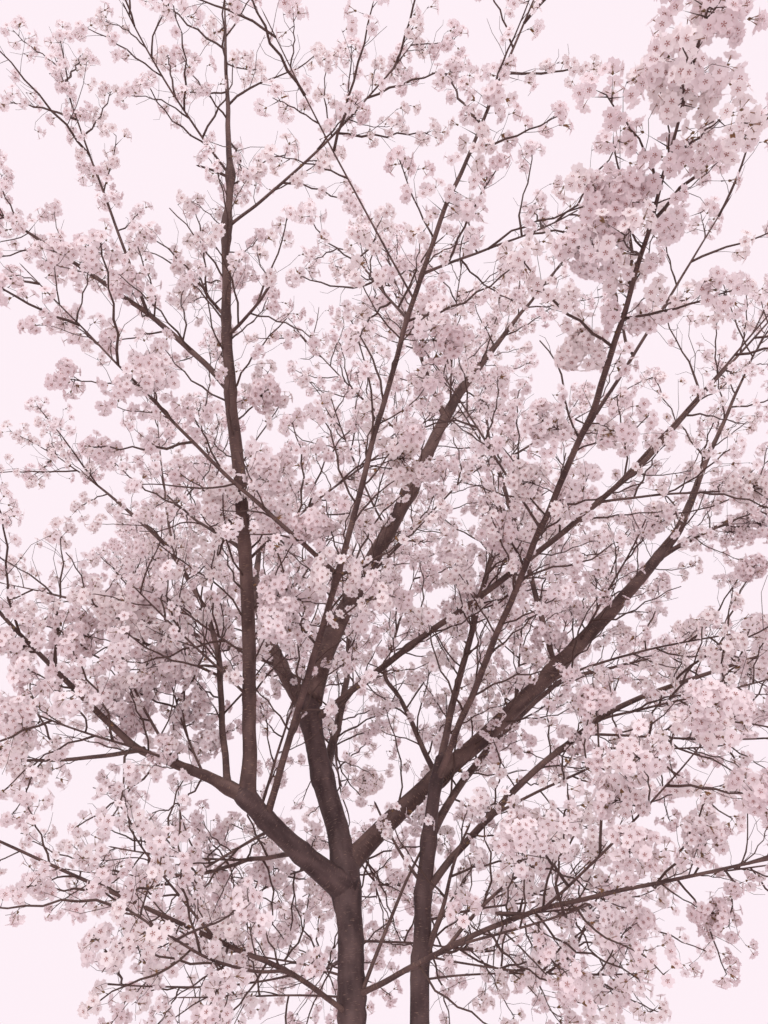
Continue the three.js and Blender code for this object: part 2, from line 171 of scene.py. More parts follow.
TRUNK = limb(None, 0, 2.93, [128, 84], [168], [90, 90, 90, 90, 86, 72, 80])
BOUGH_ROWS = {
    "second_stem": ("trunk", 0.11, 2.33, [92, 80, 72, 48],
        [22, 22, 10, -75, -70, -55], [55, 80, 88, 85, 74, 66]),
    "left_bough": ("trunk", 0.72, 0.59, [88, 66], [219, 225], [24, 32]),
    "right_bough": ("trunk", 0.745, 2.3, [74, 74, 66, 50], [18, 8, 1, -3, -6], [48, 40, 44, 45, 52]),
    "left_leader": ("left_bough", 0.9, 2.5, [48, 47, 46, 38, 28],
        [274, 262, 264, 256, 260, 260, 266], [72, 68, 59, 58, 65, 74, 79]),
    "left_reach": ("left_bough", 0.93, 0.45, [50, 34], [187, 193], [24, 18]),
    "left_riser": ("left_reach", 0.14, 1.55, [34, 28], [125, 118, 150, 163], [66, 68, 57, 50]),
    "front_bough": ("left_bough", 0.72, 2.15, [34, 30, 24, 20],
        [294, 290, 290, 293, 295, 297], [48, 34, 38, 50, 47, 44]),
    "front_left_bough": ("front_bough", 0.45, 0.52, [22, 18], [192, 206], [42, 34]),
    "upper_left_bough": ("left_leader", 0.6, 0.56, [32, 27], [192, 190], [50, 36]),
    "centre_right_bough": ("trunk", 0.985, 2.3, [80, 72, 56], [49, 38, 25, 15, 5], [74, 64, 66, 69, 64]),
    "centre_left_bough": ("trunk", 0.96, 1.2, [70, 54], [141, 119, 114], [52, 52, 58]),
    "cross_bough": ("trunk", 0.95, 1.75, [38, 33, 29], [331, 327, 331, 336, 340], [30, 23, 25, 32, 38]),
    "inner_riser": ("right_bough", 0.23, 0.8, [32, 26], [124, 112, 120], [58, 53, 50]),
    "tall_riser": ("right_bough", 0.55, 1.6, [38, 30], [111, 106, 115, 121], [79, 76, 75, 76]),
    "stem_bough": ("second_stem", 0.97, 0.95, [38, 32], [19, 19, 30], [76, 73, 72]),
    "near_bough": ("second_stem", 0.95, 1.65, [34, 27], [298, 295, 290, 283, 280], [44, 38, 32, 18, 9]),
    "low_fork_bough": ("second_stem", 0.78, 1.05, [38, 28], [338, 344, 346], [46, 39, 28]),
    "low_right_bough": ("trunk", 0.6, 0.88, [28, 20], [322, 328, 334], [16, 19, 8]),
    "low_left_bough": ("trunk", 0.58, 0.85, [26, 18], [228, 217, 217], [25, 16, 15]),
    "back_low_bough": ("left_bough", 0.4, 0.75, [26, 18], [124, 135], [8, -2]),
    "back_left_bough": ("centre_left_bough", 0.32, 1.2, [38, 28], [168, 156, 146], [26, 24, 26]),
    "back_middle_bough": ("trunk", 0.87, 1.5, [50, 32], [80, 88, 96], [50, 46, 50]),
    "back_right_bough": ("second_stem", 0.86, 1.5, [42, 30], [54, 46, 40], [50, 40, 36]),
}
BOUGHS = {name: limb(*row) for name, row in BOUGH_ROWS.items()}
print(len(BOUGHS), "boughs on a trunk of", TRUNK["length"], "m")

# %% [markdown]
# ## The masses of blossom
# Past the end of its bough, a limb goes on as the stem of a mass, the space that its twigs
# fill with blossom. A row gives the bough, the stem's length and its two lists of angles.

# %% Masses
MASS_ROWS = {
    "leader_top": ("left_leader", 1.3, [240, 232, 239], [79, 80, 82]),
    "leader_right": ("left_leader", 1.15, [335, 332, 328], [26, 39, 50]),
    "upper_left": ("upper_left_bough", 1.15, [198, 196], [32, 26]),
    "upper_shoot": ("upper_left_bough", 1.35, [222, 218], [60, 62]),
    "left_high": ("left_reach", 1.2, [213, 226], [33, 34]),
    "left_low": ("left_reach", 1.15, [152, 168], [0, 14]),
    "riser_side": ("left_riser", 1.15, [165, 168], [46, 36]),
    "riser_top": ("left_riser", 1.2, [140, 150], [68, 76]),
    "front_left": ("front_left_bough", 0.95, [210, 222], [36, 28]),
    "front_top": ("front_bough", 1.15, [312, 315], [56, 58]),
    "front_low": ("front_bough", 0.95, [232, 236], [34, 36]),
    "centre_top": ("centre_right_bough", 1.35, [352, 350], [56, 54]),
    "centre_crest": ("centre_right_bough", 1.3, [215, 225], [66, 72]),
    "centre_back": ("centre_left_bough", 1.25, [100, 92], [56, 62]),
    "centre_left_top": ("centre_left_bough", 1.5, [170, 178], [66, 74]),
    "cross_top": ("cross_bough", 1.15, [344, 340], [46, 42]),
    "cross_front": ("cross_bough", 1.05, [312, 306], [24, 26]),
    "right_top": ("right_bough", 1.4, [343, 344], [62, 58]),
    "right_side": ("right_bough", 1.1, [8, 2], [34, 22]),
    "inner": ("inner_riser", 1.05, [70, 62], [62, 58]),
    "tall_top": ("tall_riser", 1.25, [84, 72], [66, 70]),
    "tall_right": ("tall_riser", 1.1, [20, 10], [42, 38]),
    "stem": ("stem_bough", 1.0, [50, 45], [62, 58]),
    "near_front": ("near_bough", 1.15, [274, 268], [10, 2]),
    "near_up": ("near_bough", 0.95, [318, 322], [44, 48]),
    "fork_side": ("low_fork_bough", 1.2, [350, 354], [18, 12]),
    "low_right": ("low_right_bough", 1.2, [340, 342], [8, 8]),
    "low_front": ("low_right_bough", 0.95, [298, 292], [18, 22]),
    "low_left": ("low_left_bough", 1.0, [214, 208], [16, 18]),
    "back_low": ("back_low_bough", 1.05, [140, 146], [4, 12]),
    "back_left_side": ("back_left_bough", 1.05, [152, 156], [26, 20]),
    "back_left_top": ("back_left_bough", 1.1, [108, 104], [54, 56]),
    "back_middle": ("back_middle_bough", 1.0, [112, 116], [26, 18]),
    "back_middle_top": ("back_middle_bough", 1.15, [66, 62], [58, 62]),
    "back_right_side": ("back_right_bough", 1.15, [24, 18], [22, 14]),
    "back_right_top": ("back_right_bough", 1.15, [66, 62], [46, 50]),
}
MASSES = {name: dict(zip(("parent", "length", "heading", "rise"), row)) for name, row in MASS_ROWS.items()}
print(len(MASSES), "masses of blossom")

# %% [markdown]
# ## Walking a centre line
# A limb is first only a line. It is walked in equal strides, and each stride points where
# the two lists of angles say. The same walk made the solid model, so the lines agree.

# %% Walks
RING_SPACING = 0.21


def value_along(values, share):
    """Straight-line interpolation in a list whose values are spread evenly from 0 to 1."""
    return np.interp(share, np.linspace(0, 1, len(values)), values)


def directions(heading, rise):
    """Unit vectors: cos(rise) times (cos, sin) of the heading, and sin(rise) upwards."""
    turn, lift = np.radians(heading), np.radians(rise)
    return np.stack([np.cos(turn) * np.cos(lift), np.sin(turn) * np.cos(lift), np.sin(lift)], axis=-1)


def walk(start, shape, spacing):
    """Points of a centre line: the running sum of equal strides in the listed directions."""
    steps = max(3, math.ceil(round(shape["length"] / spacing, 6)))
    share = (np.arange(steps) + 0.5) / steps
    strides = directions(value_along(shape["heading"], share), value_along(shape["rise"], share))
    return np.vstack([start, start + np.cumsum(strides * shape["length"] / steps, axis=0)])


trunk_line = walk(np.zeros(3), TRUNK, RING_SPACING)
print("the trunk ends at", [round(float(x), 2) for x in trunk_line[-1]])

# %% [markdown]
# ## Lines of the boughs and the stems
# Each limb starts at a share of its parent. A bough's first mass starts at its end, and its
# second one a little before.

# %% Centre lines
STEM_SPACING = 0.33
STEM_STARTS = (0.99, 0.88)


def stretch_of(line, share):
    """The first point of the stretch of a line at a share of it, the stretch, and the place along it."""
    place = share * (len(line) - 1)
    lower = min(int(place), len(line) - 2)
    return line[lower], line[lower + 1] - line[lower], place - lower


def point_on(line, share):
    """The point at a share of a line, which is linear between its points."""
    first, stride, rest = stretch_of(line, share)
    return first + stride * rest


def heading_on(line, share):
    """The unit direction of a line at a share of it."""
    stride = stretch_of(line, share)[1]
    return stride / np.linalg.norm(stride)


def add_limbs(table, spacing):
    """Walks each limb of a table from its place on its parent."""
    for name, shape in table.items():
        limb_lines[name] = walk(point_on(limb_lines[shape["parent"]], shape["at"]), shape, spacing)
        limb_thick[name] = shape["thick"]


limb_lines = {"trunk": trunk_line}
limb_thick = {"trunk": TRUNK["thick"]}
add_limbs(BOUGHS, RING_SPACING)

stem_lines = {}
first_stem = {}
for name, shape in MASSES.items():
    order = 1 if shape["parent"] in first_stem else 0
    first_stem.setdefault(shape["parent"], name)
    stem_lines[name] = walk(point_on(limb_lines[shape["parent"]], STEM_STARTS[order]), shape, STEM_SPACING)
print("total length of limbs", round(sum(s["length"] for s in BOUGHS.values()), 1), "m")

# %% [markdown]
# ## Distances to lines
# Growing needs to know how near things are. All lines are cut into straight segments, and
# numpy gives the distance from many points to all of them in one array.

# %% Distances


def segments_of(lines):
    """All the straight pieces of a list of lines: starts, ends, owners and shares at their starts."""
    counts = [len(line) - 1 for line in lines]
    return {
        "starts": np.vstack([line[:-1] for line in lines]),
        "ends": np.vstack([line[1:] for line in lines]),
        "owner": np.repeat(np.arange(len(lines)), counts),
        "share": np.concatenate([np.arange(count) / count for count in counts]),
        "step": np.repeat([1 / count for count in counts], counts),
        "first": np.concatenate([[0], np.cumsum(counts)[:-1]]),
    }


def distances(points, pieces):
    """Distance of each point from each segment, and the share of its line at the nearest place."""
    along = pieces["ends"] - pieces["starts"]
    offset = points[:, None, :] - pieces["starts"][None]
    t = np.clip((offset * along).sum(-1) / (along * along).sum(-1), 0, 1)
    gap = np.linalg.norm(offset - t[..., None] * along, axis=-1)
    return gap, pieces["share"] + t * pieces["step"]


stem_pieces = segments_of(list(stem_lines.values()))
limb_pieces = segments_of(list(limb_lines.values()))
limb_owner_thick = [limb_thick[name] for name in limb_lines]
print(len(stem_pieces["starts"]), "stem segments and", len(limb_pieces["starts"]), "limb segments")

# %% [markdown]
# ## Room to grow
# A point has room in its mass while it is nearer to its own stem than to any other. It is
# clear of the limbs while it is outside all of them, and inside the crown while it is under
# a rounded hull. Finer twigs may hang a little below the hull's foot.

# %% Tests for room
TREE_HEIGHT = 6.2
CROWN_RADIUS = 2.6
WIDEST_HEIGHT = 3.7
CROWN_FOOT = 1.75
CROWN_SLACK = 0.12
CROWN_ROUNDNESS = 2.4
TWIG_SINK = 0.17
AIR_GAP = 0.004


def room_in_mass(points, own):
    """Half the difference between the distances from the nearest other stem and from the own one."""
    gap, _ = distances(points, stem_pieces)
    nearest = np.minimum.reduceat(gap, stem_pieces["first"], axis=1)
    rows = np.arange(len(points))
    own_gap = nearest[rows, own].copy()
    nearest[rows, own] = np.inf
    return (nearest.min(axis=1) - own_gap) / 2


def limb_radius(owner, share):
    """Half the listed thickness of a limb, and for the trunk the flare that fades with height."""
    radius = value_along(limb_owner_thick[owner], share) / 2
    if owner == 0:
        radius = radius + FLARE["extra"] * np.exp(-share * TRUNK["length"] / FLARE["height"])
    return radius


def limb_clearance(points):
    """The least distance from each point to the surface of any limb."""
    gap, share = distances(points, limb_pieces)
    clear = np.full(len(points), np.inf)
    for owner in range(len(limb_owner_thick)):
        mine = limb_pieces["owner"] == owner
        radius = limb_radius(owner, share[:, mine]) * (1 + FLARE["depth"])
        clear = np.minimum(clear, (gap[:, mine] - radius).min(axis=1))
    return clear


def crown_radius(height):
    """Radius of the rounded crown: a superellipse above and below its widest height."""
    half = np.where(height > WIDEST_HEIGHT, TREE_HEIGHT - WIDEST_HEIGHT, WIDEST_HEIGHT - CROWN_FOOT)
    share = np.minimum(np.abs(height - WIDEST_HEIGHT) / half, 1)
    return CROWN_RADIUS * np.sqrt(1 - share ** CROWN_ROUNDNESS)


def inside_crown(points, margin, sink=0.0):
    """Whether a point with a margin round it is inside the rounded crown, which can sink a little."""
    radius = np.hypot(points[:, 0], points[:, 1])
    low_enough = points[:, 2] + margin < TREE_HEIGHT
    below = points[:, 2] < WIDEST_HEIGHT
    height = points[:, 2] + sink * below * (WIDEST_HEIGHT - points[:, 2]) / (WIDEST_HEIGHT - CROWN_FOOT)
    return low_enough & (radius + margin < crown_radius(height) + CROWN_SLACK)


print("crown", round(2 * float(crown_radius(WIDEST_HEIGHT)), 2), "m across at its widest")

# %% [markdown]
# ## Directions and repeatable chance
# Twigs leave a stem in a spiral: each is turned by the golden angle from the last, so no two
# grow above each other. The random numbers come from a short formula, so the solid model,
# written in another language, draws the same ones.

# %% Directions and random numbers
GOLDEN_TURN = 137.5
NEARLY_UPRIGHT = 0.95
GENERATOR = {"factor": 1664525, "step": 1013904223, "range": 2**32}


def make_random(seed):
    """Repeatable numbers from 0 to 1: a linear congruential generator, (factor x + step) mod range."""
    state = seed

    def draw():
        nonlocal state
        state = (state * GENERATOR["factor"] + GENERATOR["step"]) % GENERATOR["range"]
        return state / GENERATOR["range"]

    return draw


def unit(vectors):
    """Each vector divided by its length."""
    return vectors / np.linalg.norm(vectors, axis=-1, keepdims=True)


def turned_out(along, angle, turn):
    """Directions at an angle from others, turned round them: along cos(angle) + swing sin(angle),
    where the swing starts level, at right angles to the direction, and turns round it."""
    level = np.where(np.abs(along[..., 2:]) < NEARLY_UPRIGHT, [0.0, 0.0, 1.0], [1.0, 0.0, 0.0])
    side = unit(np.cross(along, level))
    turn, angle = np.radians(turn)[..., None], np.radians(angle)[..., None]
    swing = side * np.cos(turn) + np.cross(along, side) * np.sin(turn)
    return along * np.cos(angle) + swing * np.sin(angle)


def numbered(counts):
    """For lots of so many items each: the number of each item's lot, and its place in the lot."""
    which = np.repeat(np.arange(len(counts)), counts)
    return which, np.arange(counts.sum()) - np.repeat(np.cumsum(counts) - counts, counts)


print("first twigs turn to", [round(GOLDEN_TURN * k % 360, 1) for k in range(4)], "degrees")

# %% [markdown]
# ## Does a twig fit?
# A twig of a mass bears a ball of blossom at its end. The way to the end and the ball both
# have to keep to the mass's own space.

# %% Tests for twigs
TWIG_RADIUS = 0.0042
SAMPLE_STEP = 0.04


def way_is_clear(own, root, ends):
    """For twigs from one root to many ends: whether points along each stay in the mass, off the limbs."""
    lengths = np.linalg.norm(ends - root, axis=1)
    counts = np.ceil(np.round(lengths / SAMPLE_STEP, 6)).astype(int)
    which, order = numbered(counts)
    points = root + (ends[which] - root) * ((order + 1) / counts[which])[:, None]
    room = room_in_mass(points, np.full(len(points), own)) >= TWIG_RADIUS + AIR_GAP
    clear = limb_clearance(points) > TWIG_RADIUS + AIR_GAP
    good = np.ones(len(ends), bool)
    np.logical_and.at(good, which, room & clear)
    return good


def cluster_fits(own, placed, ends, radius, at_tip):
    """Whether a ball of blossom at each end keeps to its space, off the stem and off the others."""
    good = inside_crown(ends, radius) & (limb_clearance(ends) > radius + AIR_GAP)
    good &= room_in_mass(ends, np.full(len(ends), own)) > radius + AIR_GAP
    for centre, other in placed:
        good &= np.linalg.norm(ends - centre, axis=1) > radius + other
    if not at_tip:
        gap, _ = distances(ends, stem_pieces)
        good &= gap[:, stem_pieces["owner"] == own].min(axis=1) > radius
    return good


print("a twig needs", TWIG_RADIUS + AIR_GAP, "m of room on each side")

# %% [markdown]
# ## The growing rule
# Long twigs take turns with short ones. Each is trimmed until it fits, and is left out if
# nothing fits. This is the rule of the solid model, so each twig here grows inside its solid.

# %% Twigs of the masses
FIRST_SEED = 1000
FIRST_TWIG = 0.16
TWIG_SPACING = 0.092
TWIG_REACH = 0.56
TIP_SHORTENING = 0.45
SHORT_TWIG = 0.55
LEAST_TWIG = 0.05
TRIM = 0.85
MOST_TRIMS = 40
TWIG_ANGLE = 56
TIP_CLOSING = 0.35
ANGLE_SPREAD = 10
CLUSTER_RADIUS = 0.108
CLUSTER_SIZES = {"least": 0.8, "range": 0.4}
END_CLUSTER = 0.06


def grow_mass(own, name):
    """All twigs of one mass, as (own, root, end, radius of the ball of blossom at its end)."""
    draw = make_random(FIRST_SEED + own)
    line, length = stem_lines[name], MASSES[name]["length"]
    count = int(length * (1 - FIRST_TWIG) / TWIG_SPACING + 0.5)
    turn = draw() * 360
    twigs, placed = [], []
    for i in range(count + 1):
        share = FIRST_TWIG + (1 - FIRST_TWIG) * i / count
        root, along = point_on(line, share), heading_on(line, share)
        turn += GOLDEN_TURN
        angle = TWIG_ANGLE * (1 - TIP_CLOSING * share) + ANGLE_SPREAD * (draw() - 0.5)
        out = along if i == count else turned_out(along, angle, turn)
        full = length * TWIG_REACH * (1 - TIP_SHORTENING * share) * (1 if i % 2 == 0 else SHORT_TWIG)
        radius = CLUSTER_RADIUS * (CLUSTER_SIZES["least"] + CLUSTER_SIZES["range"] * draw())
        trims = (END_CLUSTER if i == count else full) * TRIM ** np.arange(MOST_TRIMS)
        ends = root + out * trims[trims > LEAST_TWIG][:, None]
        fits = way_is_clear(own, root, ends) & cluster_fits(own, placed, ends, radius, i == count)
        if fits.any():
            end = ends[np.argmax(fits)]
            twigs.append((own, root, end, radius))
            placed.append((end, radius))
    return twigs


mass_twigs = [twig for own, name in enumerate(MASSES) for twig in grow_mass(own, name)]
mass_own, mass_roots, mass_ends, mass_ball = (np.array(column) for column in zip(*mass_twigs))
print(len(mass_twigs), "twigs in the masses, as in the solid model")

# %% [markdown]
# ## Finer limbs
# Between the boughs and the twigs the tree has thin limbs that are worth a place of their
# own, because they cross the open middle of the crown. They use the same kind of table.

# %% Finer limbs
FINE_ROWS = {
    "leader_knob": ("left_leader", 0.98, 0.14, [16, 10], [205, 200], [10, -5]),
    "leader_far_left": ("left_leader", 0.985, 0.75, [14, 7], [222, 231, 238], [36, 32, 38]),
    "leader_side_right": ("left_leader", 0.69, 0.34, [20, 12], [315, 305, 300], [0, -6, 4]),
    "leader_side_left": ("left_leader", 0.72, 0.47, [20, 10], [150, 141, 135], [52, 62, 66]),
    "leader_low_left": ("left_leader", 0.36, 0.72, [19, 9], [148, 143, 138], [36, 42, 46]),
    "front_small": ("front_bough", 0.45, 0.26, [15, 8], [40, 46, 52], [33, 39, 46]),
    "crossing": ("left_leader", 0.34, 1.43, [16, 13, 8], [42, 29, 23], [56, 50, 48]),
    "low_right_up": ("low_right_bough", 0.46, 0.55, [18, 10], [-16, -13, -10], [48, 36, 29]),
    "low_left_second": ("low_left_bough", 0.39, 0.83, [15, 8], [236, 237, 244], [-9, 13, 16]),
    "fork_riser": ("low_right_bough", 0.05, 0.54, [20, 12], [0, 6, 12], [68, 65, 62]),
    "stem_link": ("second_stem", 0.79, 0.36, [18, 10], [185, 190, 196], [52, 58, 64]),
    "left_back_thin": ("left_bough", 0.64, 0.67, [17, 9], [132, 129, 124], [-7, -8, -2]),
    "low_stem_branch": ("second_stem", 0.69, 0.5, [28, 18, 10], [-31, -52, -37], [51, 65, 54]),
    "reach_rise": ("left_reach", 0.6, 0.7, [16, 8], [205, 220, 230], [48, 56, 60]),
    "right_upward": ("right_bough", 0.72, 0.6, [18, 9], [70, 60, 55], [62, 66, 70]),
    "right_front": ("right_bough", 0.62, 0.7, [18, 8], [300, 296, 290], [36, 30, 34]),
    "cross_rise": ("cross_bough", 0.5, 0.6, [15, 8], [40, 30, 24], [66, 62, 66]),
    "centre_right_side": ("centre_right_bough", 0.3, 0.9, [18, 8], [336, 342, 346], [38, 44, 48]),
    "centre_left_front": ("centre_right_bough", 0.48, 0.8, [16, 8], [225, 232, 236], [46, 52, 58]),
    "stem_front": ("stem_bough", 0.35, 0.6, [16, 8], [284, 288, 294], [40, 46, 52]),
    "low_left_under": ("low_left_bough", 0.35, 0.6, [10, 6], [200, 207, 200], [-14, -3, 2]),
    "low_left_rise": ("low_left_bough", 0.72, 0.45, [14, 7], [204, 212, 222], [44, 40, 46]),
    "back_left_under": ("trunk", 0.6, 0.75, [11, 6], [152, 158, 150], [6, 0, 2]),
    "low_right_under": ("low_right_bough", 0.4, 0.65, [10, 6], [350, 357, 352], [-12, -5, 2]),
    "stem_low_right": ("second_stem", 0.66, 0.9, [11, 6], [20, 11, 4], [8, 0, 2]),
    "leader_low_side": ("left_leader", 0.2, 0.5, [13, 6], [204, 192, 180], [24, 34, 42]),
    "reach_inner_rise": ("left_reach", 0.35, 0.55, [13, 6], [166, 150, 140], [58, 62, 64]),
    "fork_side_low": ("low_fork_bough", 0.8, 0.75, [16, 8], [350, 357, 352], [-6, -4, 2]),
    "low_right_far": ("low_right_bough", 0.95, 0.9, [11, 6], [0, 7, 12], [14, 9, 8]),
    "low_right_down": ("low_right_bough", 0.5, 0.6, [14, 7], [304, 308, 314], [2, 4, 10]),
    "low_right_outer": ("low_right_bough", 0.75, 0.6, [14, 7], [356, 2, 8], [2, 4, 10]),
    "fork_outer": ("low_fork_bough", 0.35, 0.7, [16, 8], [318, 312, 318], [14, 8, 12]),
    "fork_under": ("low_fork_bough", 0.7, 0.7, [16, 7], [4, 10, 6], [6, 2, 8]),
    "trunk_low_back": ("trunk", 0.62, 0.8, [13, 7], [140, 146, 152], [16, 10, 14]),
    "reach_under": ("left_reach", 0.5, 0.6, [16, 7], [236, 228, 222], [4, 0, 8]),
    "back_low_side": ("back_low_bough", 0.5, 0.6, [14, 7], [168, 176, 180], [2, 6, 10]),
    "front_top_right": ("front_bough", 0.92, 0.8, [14, 7], [22, 14, 6], [44, 38, 42]),
    "front_top_left": ("front_bough", 0.85, 0.8, [14, 7], [120, 128, 134], [60, 64, 62]),
    "crest_left": ("centre_right_bough", 0.75, 1.1, [18, 8], [192, 198, 194], [38, 44, 50]),
    "crest_front": ("centre_right_bough", 0.92, 0.9, [16, 7], [268, 276, 284], [40, 46, 50]),
    "tall_left": ("tall_riser", 0.9, 1.0, [16, 7], [152, 160, 166], [66, 70, 68]),
    "near_left_rise": ("near_bough", 0.66, 0.9, [15, 7], [196, 188, 180], [62, 66, 62]),
    "leader_low_front": ("left_leader", 0.14, 0.6, [15, 7], [232, 224, 218], [20, 26, 32]),
    "riser_low_left": ("left_riser", 0.35, 0.6, [16, 8], [192, 200, 206], [22, 16, 20]),
    "left_bough_rise": ("left_bough", 0.78, 0.8, [16, 8], [66, 72, 80], [70, 64, 60]),
    "right_outer": ("right_bough", 0.9, 0.8, [18, 8], [350, 344, 340], [24, 18, 14]),
    "fork_tip_down": ("low_fork_bough", 0.9, 0.7, [14, 7], [330, 322, 316], [4, -2, 2]),
    "back_low_right": ("trunk", 0.66, 1.1, [14, 7], [60, 52, 46], [8, 2, 4]),
    "back_low_middle": ("trunk", 0.64, 1.15, [14, 7], [104, 98, 92], [6, 2, 4]),
    "stem_back_low": ("second_stem", 0.74, 1.1, [14, 7], [35, 28, 20], [16, 8, 4]),
    "back_middle_rise": ("back_middle_bough", 0.7, 1.0, [18, 8], [90, 96, 92], [56, 62, 64]),
    "back_right_rise": ("back_right_bough", 0.6, 1.0, [18, 8], [60, 66, 62], [60, 64, 66]),
    "back_left_rise": ("back_left_bough", 0.6, 1.0, [18, 8], [122, 116, 112], [62, 66, 68]),
    "centre_left_back": ("centre_left_bough", 0.7, 1.1, [20, 8], [58, 66, 70], [48, 54, 58]),
    "back_middle_low": ("back_middle_bough", 0.25, 1.0, [18, 8], [96, 90, 86], [6, -2, 0]),
    "back_trunk": ("trunk", 0.78, 1.2, [14, 7], [76, 84, 90], [8, -2, -4]),
    "back_trunk_left": ("trunk", 0.75, 1.2, [14, 7], [122, 116, 110], [10, 0, -2]),
    "right_low_outer": ("right_bough", 0.5, 1.0, [18, 8], [340, 346, 352], [16, 8, 4]),
    "cross_outer": ("cross_bough", 0.85, 0.8, [15, 7], [352, 356, 358], [6, 0, 6]),
}
FINE_LIMBS = {name: limb(*row) for name, row in FINE_ROWS.items()}
add_limbs(FINE_LIMBS, STEM_SPACING / 3)
print(len(FINE_LIMBS), "finer limbs")

# %% [markdown]
# ## Smooth curves
# A walked line has corners. A Catmull-Rom curve runs through its points and rounds them. It
# is then sampled again at even steps, because a tube looks even only if its rings are.

# %% Smooth curves
CURVE_SAMPLES = 12
FINE_STEP = 0.02


def run_of(line):
    """The length of a line from its start to each of its points."""
    return np.concatenate([[0], np.cumsum(np.linalg.norm(np.diff(line, axis=0), axis=1))])


def smooth(line, spacing):
    """A Catmull-Rom curve through the points of a line, resampled evenly along its length."""
    padded = np.vstack([2 * line[0] - line[1], line, 2 * line[-1] - line[-2]])
    share = np.linspace(0, len(line) - 1, CURVE_SAMPLES * len(line))
    lower = np.minimum(share.astype(int), len(line) - 2)
    t = (share - lower)[:, None]
    a, b, c, d = (padded[lower + i] for i in range(4))
    curve = b + (c - a) * t / 2 + (2 * a - 5 * b + 4 * c - d) * t**2 / 2 + (3 * b - a - 3 * c + d) * t**3 / 2
    run = run_of(curve)
    even = np.linspace(0, run[-1], max(3, round(run[-1] / spacing) + 1))
    return np.stack([np.interp(even, run, curve[:, k]) for k in range(3)], axis=1)


def resampled(line, points):
    """A limb's curve with a fixed number of points, so that limbs stack into one array."""
    curve = smooth(line, FINE_STEP)
    place = np.linspace(0, len(curve) - 1, points)
    return np.stack([np.interp(place, np.arange(len(curve)), curve[:, k]) for k in range(3)], axis=1)


print("the trunk's curve has", len(smooth(limb_lines["trunk"], FINE_STEP)), "points")

# %% [markdown]
# ## Tubes
# A tube is a surface of two parameters: the place along the curve and the angle round it.
# Its rings need side vectors that never twist, so they are carried from ring to ring. Both
# ends close in a pole.

# %% Tubes
NEARLY_ALONG_X = 0.9


def frames_along(lines):
    """Side and across vectors at each point of many lines, carried along without twisting."""
    along = unit(np.gradient(lines, axis=1))
    side = np.empty_like(lines)
    current = np.where(np.abs(along[:, 0, :1]) < NEARLY_ALONG_X, [1.0, 0.0, 0.0], [0.0, 1.0, 0.0])
    for k in range(lines.shape[1]):
        lengthwise = (current * along[:, k]).sum(-1, keepdims=True) * along[:, k]
        current = unit(current - lengthwise)
        side[:, k] = current
    return side, np.cross(along, side)


def tubes(lines, radii, sides):
    """Closed tubes: point + radius (side cos a + across sin a) on each ring, and a pole at each end.
    lines is (tubes, rings, 3), and radii is (tubes, rings) or (tubes, rings, sides)."""
    count, rings = lines.shape[:2]
    angle = np.arange(sides) * 2 * np.pi / sides
    side, across = frames_along(lines)
    radii = radii[..., None] if radii.ndim == 2 else radii
    swing = side[:, :, None] * np.cos(angle)[:, None] + across[:, :, None] * np.sin(angle)[:, None]
    shell = lines[:, :, None] + swing * radii[..., None]
    vertices = np.concatenate([shell.reshape(count, -1, 3), lines[:, [0, -1]]], axis=1)
    k, s = np.meshgrid(np.arange(rings - 1), np.arange(sides), indexing="ij")
    following = (s + 1) % sides
    wall = [k * sides + s, k * sides + following, (k + 1) * sides + following, (k + 1) * sides + s]
    s = np.arange(sides)
    root_pole, tip_pole, last = rings * sides, rings * sides + 1, (rings - 1) * sides
    root_cap = np.stack([np.full(sides, root_pole), (s + 1) % sides, s], axis=1)
    tip_cap = np.stack([np.full(sides, tip_pole), last + s, last + (s + 1) % sides], axis=1)
    shift = np.arange(count)[:, None, None] * (rings * sides + 2)
    quads = (np.stack(wall, axis=-1).reshape(-1, 4) + shift).reshape(-1, 4)
    triangles = (np.concatenate([root_cap, tip_cap]) + shift).reshape(-1, 3)
    return vertices.reshape(-1, 3), quads, triangles


sample_tube = tubes(np.eye(3)[None], np.ones((1, 3)), 8)
print("a tube of 3 rings and 8 sides has", len(sample_tube[0]), "points")

# %% [markdown]
# ## Meshes
# Many tubes are joined into one lot of arrays, and the finished arrays go into a mesh in one
# step each.

# %% Meshes
NO_QUADS = np.zeros((0, 4), int)


def joined(parts):
    """Several lots of vertices, quads and triangles as one, with the face numbers moved up."""
    shift = np.cumsum([0] + [len(part[0]) for part in parts[:-1]])
    vertices = np.vstack([part[0] for part in parts])
    quads, triangles = (np.vstack([part[k] + n for part, n in zip(parts, shift)]) for k in (1, 2))
    return vertices, quads, triangles


def make_piece(name, vertices, quads, triangles, smooth_shaded=True):
    """Puts arrays into a mesh with foreach_set, and the mesh into an object at the origin."""
    mesh = bpy.data.meshes.new(name)
    corners = np.concatenate([quads.ravel(), triangles.ravel()]).astype(np.int32)
    starts = np.concatenate([np.arange(len(quads)) * 4, 4 * len(quads) + np.arange(len(triangles)) * 3])
    mesh.vertices.add(len(vertices))
    mesh.vertices.foreach_set("co", vertices.astype(np.float32).ravel())
    mesh.loops.add(len(corners))
    mesh.loops.foreach_set("vertex_index", corners)
    mesh.polygons.add(len(starts))
    mesh.polygons.foreach_set("loop_start", starts.astype(np.int32))
    mesh.update(calc_edges=True)
    mesh.polygons.foreach_set("use_smooth", np.full(len(starts), smooth_shaded))
    piece = bpy.data.objects.new(name, mesh)
    scene.collection.objects.link(piece)
    print(f"{name}: {2 * len(quads) + len(triangles)} triangles")
    return piece


print("two such tubes joined have", len(joined([sample_tube, sample_tube])[0]), "points")

